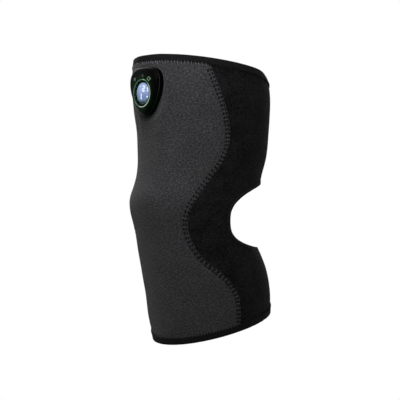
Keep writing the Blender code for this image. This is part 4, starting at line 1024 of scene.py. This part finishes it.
def ringMaterial(name, low, high):
    # lit plastic: a thin line of light, brighter to the right and below, with uneven arcs
    look = ringLook
    material, shader = startMaterial(name)
    place = millimetres(shader)
    arcs = noise(vectorMaths("ADD", place, look.shift), *look.noise)
    parts = split(place)
    fall = timesAdd(parts[2], -look.downward, look.downward * displayAt[2])
    arcs = add(arcs, timesAdd(parts[0], look.rightward, fall))
    lit = mixTone(ramp(arcs, *look.bright), tone(*low), tone(*high))
    lit = mixTone(glowRound(place, look.radius, look.reach), look.unlit, lit)
    fill(shader, {"Emission Color": lit, "Base Color": look.base, "Specular IOR Level": 0.1,
                  "Emission Strength": look.strength, "Roughness": 0.3})
    return material


glossMaterial = caseMaterial()
setPiece(makeCover(), glossMaterial, stands=["controller_front_shell"])
ringFoot = lensLow - ring.foot
ringSide = [(ring.radius - inset, ringTop - drop) for inset, drop in ring.edge]
ringSide += [(ringInner + inset, ringTop - drop) for inset, drop in ring.edge[::-1]]
ringPiece = lathe("lit_ring", [(ring.radius, ringFoot), *ringSide, (ringInner, ringFoot)], ring.sides)
ringLight = ringMaterial("ringLightGreen", (88, 150, 104), (232, 255, 236))
setPiece(ringPiece, ringLight, stands=["light_ring"])
print("case and ring made")


# Display: a clear window over a lit face

screenLook = Settings(
    patches=0.16, bright=(0.35, 0.65), rise=(120.0, 134.0), foot=(119.5, 115.2), edge=(11.4, 3.2),
    edgeFade=-0.6, base=(0.02, 0.02, 0.03, 1), blue=(96, 118, 160), lavender=(150, 148, 208),
    pale=(178, 190, 238), teal=(36, 102, 84), dark=(14, 46, 32))
lensLook = Settings(Base=(0.9, 0.95, 0.97, 1), Dust=(0.8, 0.84, 0.86, 1), Smooth=0.02, Rough=0.08, Wear=0.3)


def makeLens():
    # disc with a low dome, z = rise * (1 - (r/R)^2)
    form = lensForm
    radius = ringInner - form.side
    high = case.face - form.under
    shares = np.linspace(1, form.heart, form.steps)
    profile = [(form.heart, lensLow), (1.0, lensLow), (1.0, high - form.bevel)]
    profile += [(share - form.inset, high + form.dome * (1 - share**2)) for share in shares]
    return lathe("display_window", [(radius * share, z) for share, z in profile], ring.sides, False, 50)


def lensMaterial():
    material, shader = startMaterial("clearWindow")
    made = useGroup(moulded, Place=millimetres(shader), **lensLook)
    fill(shader, {"Base Color": made["Color"], "Roughness": made["Roughness"], "Transmission Weight": 1.0,
                  "IOR": 1.06, "Specular IOR Level": 0.1})
    return material


def screenMaterial():
    # lavender light, whiter where the signs stand, teal towards the edge: noise, height and the radius
    look = screenLook
    material, shader = startMaterial("screenLight")
    place = millimetres(shader)
    height = split(place)[2]
    up = ramp(height, *look.rise)
    patches = ramp(noise(place, look.patches), *look.bright)
    body = mixTone(up, mixTone(patches, tone(*look.blue), tone(*look.lavender)), tone(*look.pale))
    side = times(glowRound(place, *look.edge), timesAdd(up, look.edgeFade, 1.0))
    lit = mixTone(ramp(height, *look.foot), mixTone(side, body, tone(*look.teal)), tone(*look.dark))
    fill(shader, {"Emission Color": lit, "Emission Strength": 1.0, "Base Color": look.base,
                  "Specular IOR Level": 0.05})
    return material


def makeScreen():
    radius, heart = screenForm.radius, screenForm.radius * lensForm.heart
    low = screenHigh - screenForm.depth
    return lathe("screen_face", [(heart, low), (radius, low), (radius, screenHigh), (heart, screenHigh)],
                 screenForm.sides, False)


def makeMask():
    # flat ring round the lit face
    outer, inner = ringInner - screenForm.maskOut, screenForm.radius + screenForm.maskIn
    low = screenHigh - screenForm.maskGap
    high = low + screenForm.depth
    return lathe("screen_mask", [(outer, low), (outer, high), (inner, high), (inner, low)], screenForm.sides)


setPiece(makeLens(), lensMaterial(), stands=["display_lens"])
setPiece(makeScreen(), screenMaterial())
setPiece(makeMask(), plasticMaterial("screenMask", (3, 4, 4), (10, 12, 12), 0.6, 0.8, 0.2, specular=0.05))


# Signs: flat strokes with thin ends, a hair above what carries them

signForm = Settings(
    lengths(depth=0.06, sunk=0.02, screenWidth=1.75, screenLift=0.005),
    endShare=0.55, barShare=0.9, barSteps=5, markSteps=4, flecks=0.6, darkShare=0.85, dark=0.01, rough=0.4)
flowerForm = Settings(lengths(mean=1.15, swing=0.95), wide=1.45, narrow=0.85, steps=15)
heatForm = Settings(lengths(half=1.4, shifts=(-1.1, 0, 1.1), wave=0.28), pitch=2.6 / mm, steps=15)
powerForm = Settings(lengths(radius=1.25, bar=(0.1, 1.6)), arc=(38, 322), steps=22)


def strokes(name, lines, width, height):
    # each stroke is a path widened by half its width on both sides
    points, faces, start = [], [], 0
    for line in lines:
        line = np.asarray(line, float)
        along = unit(np.gradient(line, axis=0))
        size = np.full(len(line), width / 2)
        size[[0, -1]] *= signForm.endShare
        square = joined(-along[:, 1], along[:, 0]) * size[:, None]
        corners = np.stack([line - square, line + square, line + square, line - square], axis=1)
        levels = np.broadcast_to(height + np.array([0, 0, 1, 1]) * signForm.depth, corners.shape[:2])
        points.append(np.concatenate([corners, levels[..., None]], axis=-1).reshape(-1, 3))
        faces += [[i + start for i in face] for face in ringFaces(len(line), 4)]
        start += len(line) * 4
    return makeMesh(name, onCase(np.concatenate(points)), faces, 30)


def keyCentre(index):
    turn = keyTurn(index)
    return np.array([keys.radius * sin(turn), keys.radius * cos(turn) - case.drop])


def flowerLines(centre):
    # four petals, each a loop r = mean + swing * cos 2a, wider than high, with an open heart
    form = flowerForm
    turn = np.linspace(-pi / 4, pi / 4, form.steps)
    out = form.mean + form.swing * np.cos(2 * turn)
    angles = [turn * form.narrow + quarter * pi / 2 for quarter in range(4)]
    return [joined(centre[0] + form.wide * out * np.sin(angle), centre[1] + out * np.cos(angle))
            for angle in angles]


def heatLines(centre):
    # three upright waves, x = wave * sin(pitch * y)
    form = heatForm
    up = np.linspace(-form.half, form.half, form.steps)
    return [joined(centre[0] + shift + form.wave * np.sin(up * form.pitch), centre[1] + up)
            for shift in form.shifts]


def powerLines(centre):
    # an open ring with a bar in its gap
    form = powerForm
    turn = np.radians(np.linspace(*form.arc, form.steps))
    arc = joined(centre[0] + form.radius * np.sin(turn), centre[1] + form.radius * np.cos(turn))
    return [arc, joined(centre[0], centre[1] + np.linspace(*form.bar, signForm.markSteps))]


def makeKey(name, index):
    # stem, flange and cap in one loft of bean shapes
    half, halfTurn = keys.half, keys.halfTurn
    high = case.face + keys.proud
    under = case.face - case.ceiling - keys.under - keys.flange
    flange = under + keys.flange
    rows = [(keys.stemHalf, halfTurn / 2, under - keys.stem), (keys.stemHalf, halfTurn / 2, under),
            (half, halfTurn + keys.flangeTurn, under), (half, halfTurn + keys.flangeTurn, flange),
            (half, halfTurn, flange)]
    rows += [(half - inset, halfTurn, high - drop) for inset, drop in keys.edge]
    beans = [(beanLine(size, spread, keyTurn(index)), height) for size, spread, height in rows]
    return caseLoft(name + "_cap", beans, smoothTurn=45)


def signMaterial(name, low, high, strength):
    # flecked light, its base colour nearly black
    material, shader = startMaterial(name)
    lit = mixTone(noise(millimetres(shader), signForm.flecks), tone(*low), tone(*high))
    base = mixTone(signForm.darkShare, lit, grey(signForm.dark))
    fill(shader, {"Base Color": base, "Emission Color": lit, "Emission Strength": strength,
                  "Roughness": signForm.rough})
    return material


# lines, shift from the key's centre and stroke width in mm, dark and light tone, strength
signs = {"heat_key": (heatLines, (-0.2, 0.7), 0.62, (66, 72, 70), (104, 108, 104), 0.8),
         "power_key": (powerLines, (1.8, -0.5), 0.62, (38, 40, 42), (70, 60, 68), 0.7),
         "massage_key": (flowerLines, (0.4, 0.0), 0.48, (50, 128, 66), (150, 196, 146), 0.9)}
for index, (name, (linesOf, shift, width, *light)) in enumerate(signs.items()):
    setPiece(makeKey(name, index), glossMaterial, body=name, stands=[name])
    sign = strokes(name + "_sign", linesOf(keyCentre(index) + np.array(shift) * mm), width * mm,
                   case.face + keys.proud - signForm.sunk)
    setPiece(sign, signMaterial(name + "Sign", *light), body=name)


# Figures, bar and dot on the screen: x and y from the display's centre in mm
figureForm = [
    # x, y, width, height, lit bars
    (-4.3, -3.6, 2.6, 7.0, "bc"), (1.2, 5.0, 4.4, 6.0, "abdeg"), (7.4, 3.6, 2.4, 5.4, "bc"),
]
# ends of the seven bars, in half widths and half heights
barEnds = {"a": ((-1, 1), (1, 1)), "b": ((1, 1), (1, 0)), "c": ((1, 0), (1, -1)), "d": ((-1, -1), (1, -1)),
           "e": ((-1, 0), (-1, -1)), "f": ((-1, 1), (-1, 0)), "g": ((-1, 0), (1, 0))}
markForm = [((-5.6, 7.6), (-4.6, 7.6)), ((7.4, -5.2), (7.4, -3.0)), ((8.2, -4.9), (8.2, -3.3))]


def barLines(x, y, width, height, marks):
    # seven-bar figure: marks lists which of the bars are lit
    middle = np.array([x, y]) * mm - (0, case.drop)
    half = np.array([width, height]) * mm / 2 * signForm.barShare
    return [middle + np.linspace(*barEnds[mark], signForm.barSteps) * half for mark in marks]


figure = [line for row in figureForm for line in barLines(*row)]
figure += [np.linspace(*np.array(ends) * mm - (0, case.drop), signForm.markSteps) for ends in markForm]
setPiece(strokes("screen_figures", figure, signForm.screenWidth, screenHigh + signForm.screenLift),
         signMaterial("screenSign", (206, 218, 255), (238, 248, 255), 1.0))
print("display and keys made")


# Finishes of the CAD nodes that stay: base, dust, smooth, rough, wear and what else differs

plastics = {
    "film": ((150, 92, 40), (190, 140, 80), 0.15, 0.35, 0.3, {"coat": 0.3}),
    "lead": ((150, 26, 20), (176, 74, 62), 0.35, 0.6, 0.3, {}),
    "sensor": ((20, 60, 40), (70, 110, 80), 0.2, 0.4, 0.3, {"coat": 0.4}),
    "steel": ((170, 172, 176), (120, 122, 126), 0.2, 0.45, 0.4, {"metal": 1.0}),
    "weight": ((110, 110, 116), (80, 80, 84), 0.3, 0.55, 0.4, {"metal": 1.0}),
    "pod_plastic": ((34, 34, 36), (70, 70, 72), 0.35, 0.6, 0.3, {"relief": 0.04}),
    "module": ((210, 212, 214), (160, 162, 166), 0.3, 0.5, 0.3, {}),
    "board": ((16, 70, 40), (60, 110, 70), 0.25, 0.5, 0.4, {"coat": 0.3}),
    "battery": ((70, 74, 84), (120, 124, 132), 0.25, 0.45, 0.3, {"coat": 0.2}),
    "switch": ((24, 24, 26), (150, 152, 156), 0.3, 0.5, 0.5, {}),
    "rubber": ((16, 16, 16), (46, 46, 46), 0.55, 0.8, 0.4, {"relief": 0.05}),
}
finishes = {slot: plasticMaterial(slot + "Finish", *row[:-1], **row[-1]) for slot, row in plastics.items()}
finishes["gloss_black"] = glossMaterial
finishes["heating_wire"] = clothMaterial("carbonStrip", thread, (20, 20, 21), (62, 62, 64), 0.0001, rough=0.6,
                                         mapped=False, Pitch=0.5)
nodesOfSlot = {
    "film": ["heating_film"], "heating_wire": ["heating_wire"], "lead": ["film_lead", "motor_lead"],
    "sensor": ["temperature_sensor"], "weight": ["motor_weight"], "gloss_black": ["controller_back_shell"],
    "pod_plastic": ["motor_pod", "motor_cover", "backing_plate"], "rubber": ["case_gasket", "lead_grommet"],
    "steel": ["motor_can", "motor_shaft", "charging_socket", "case_screw"], "module": ["display_module"],
    "switch": ["_switch"], "board": ["circuit_board"], "battery": ["battery"],
}
for name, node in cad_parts.items():
    found = [slot for slot, parts in nodesOfSlot.items() if any(part in name for part in parts)]
    for place in node.material_slots:
        place.material = finishes[found[-1]] if found else glossMaterial
print("finishes given")


# Floor, lamps and white surroundings

stand = Settings(
    level=-0.47, radius=1.5, sides=96, shares=np.array([0.02, 0.25, 0.5, 0.75, 1.0]), grain=60.0,
    fadeOut=(0.7, 1.45))
surroundings = Settings(soft=0.032, tint=(1, 0.97, 0.93, 1))
# azimuth and elevation in degrees, distance, size, power, tint
lamps = {"key": (34, 44, 0.54, 0.4, 2.02, (0.985, 0.99, 1.0)),
         "fill": (72, 50, 1.0, 0.7, 1.45, (1.0, 0.985, 0.97)),
         "edge": (160, 38, 1.3, 0.6, 2.0, (1.0, 1.0, 1.0)),
         "back": (238, 42, 1.1, 0.8, 8.0, (1.0, 1.0, 1.0))}


def seenRays(tree):
    # 1 for what the camera sees, straight on or through gloss and glass
    path = addNode(tree, "ShaderNodeLightPath").outputs
    return largest(path["Is Camera Ray"], largest(path["Is Glossy Ray"], path["Is Transmission Ray"]))


def makeFloor():
    # a disc in plain grey that turns to white light far out
    turn = np.linspace(0, tau, stand.sides, endpoint=False)
    reach = stand.shares[:, None] * stand.radius
    points = joined(reach * np.cos(turn), reach * np.sin(turn), stand.level)
    faces = [face[::-1] for face in ringFaces(len(reach), stand.sides, capped=False)]
    floor = makeMesh("floor", points, faces + [list(range(stand.sides))])
    material, shader = startMaterial("paleFloor")
    tree = shader.id_data
    place = coordinates(shader)
    far = vectorMaths("LENGTH", scaled(place, (1.0, 1.0, 0.0)), output="Value")
    fill(shader, {"Base Color": mixTone(noise(place, stand.grain), grey(0.86), grey(0.9)), "Roughness": 0.8})
    glow = addNode(tree, "ShaderNodeEmission", {"Color": grey(1.0), "Strength": 1.0})
    mixed = effect("MixShader", {0: times(ramp(far, *stand.fadeOut), seenRays(tree)), 1: shader.outputs[0],
                                 2: glow.outputs[0]})
    fill(tree.nodes["Material Output"], {"Surface": mixed})
    floor.data.materials.append(material)


def makeSurroundings():
    world = bpy.data.worlds.new("studio")
    world.use_nodes = True
    bpy.context.scene.world = world
    tree = world.node_tree
    soft = addNode(tree, "ShaderNodeBackground", {"Color": surroundings.tint, "Strength": surroundings.soft})
    white = addNode(tree, "ShaderNodeBackground", {"Color": grey(1.0), "Strength": 1.0})
    mixed = effect("MixShader", {0: seenRays(tree), 1: soft.outputs[0], 2: white.outputs[0]})
    fill(tree.nodes["World Output"], {"Surface": mixed})


def addLamp(name, azimuth, elevation, away, size, power, tint):
    # a square lamp that faces the knee
    a, e = radians(azimuth), radians(elevation)
    out = np.array([sin(a) * cos(e), -cos(a) * cos(e), sin(e)])
    lamp = putInScene(name, bpy.data.lights.new(name, "AREA"))
    lamp.data.size, lamp.data.energy, lamp.data.color = size, power, tint
    lamp.location = (out * away).tolist()
    lamp.rotation_euler = (pi / 2 - e, 0, a)


makeFloor()
makeSurroundings()
for lampName, values in lamps.items():
    addLamp(lampName, *values)
print("floor and lamps set")
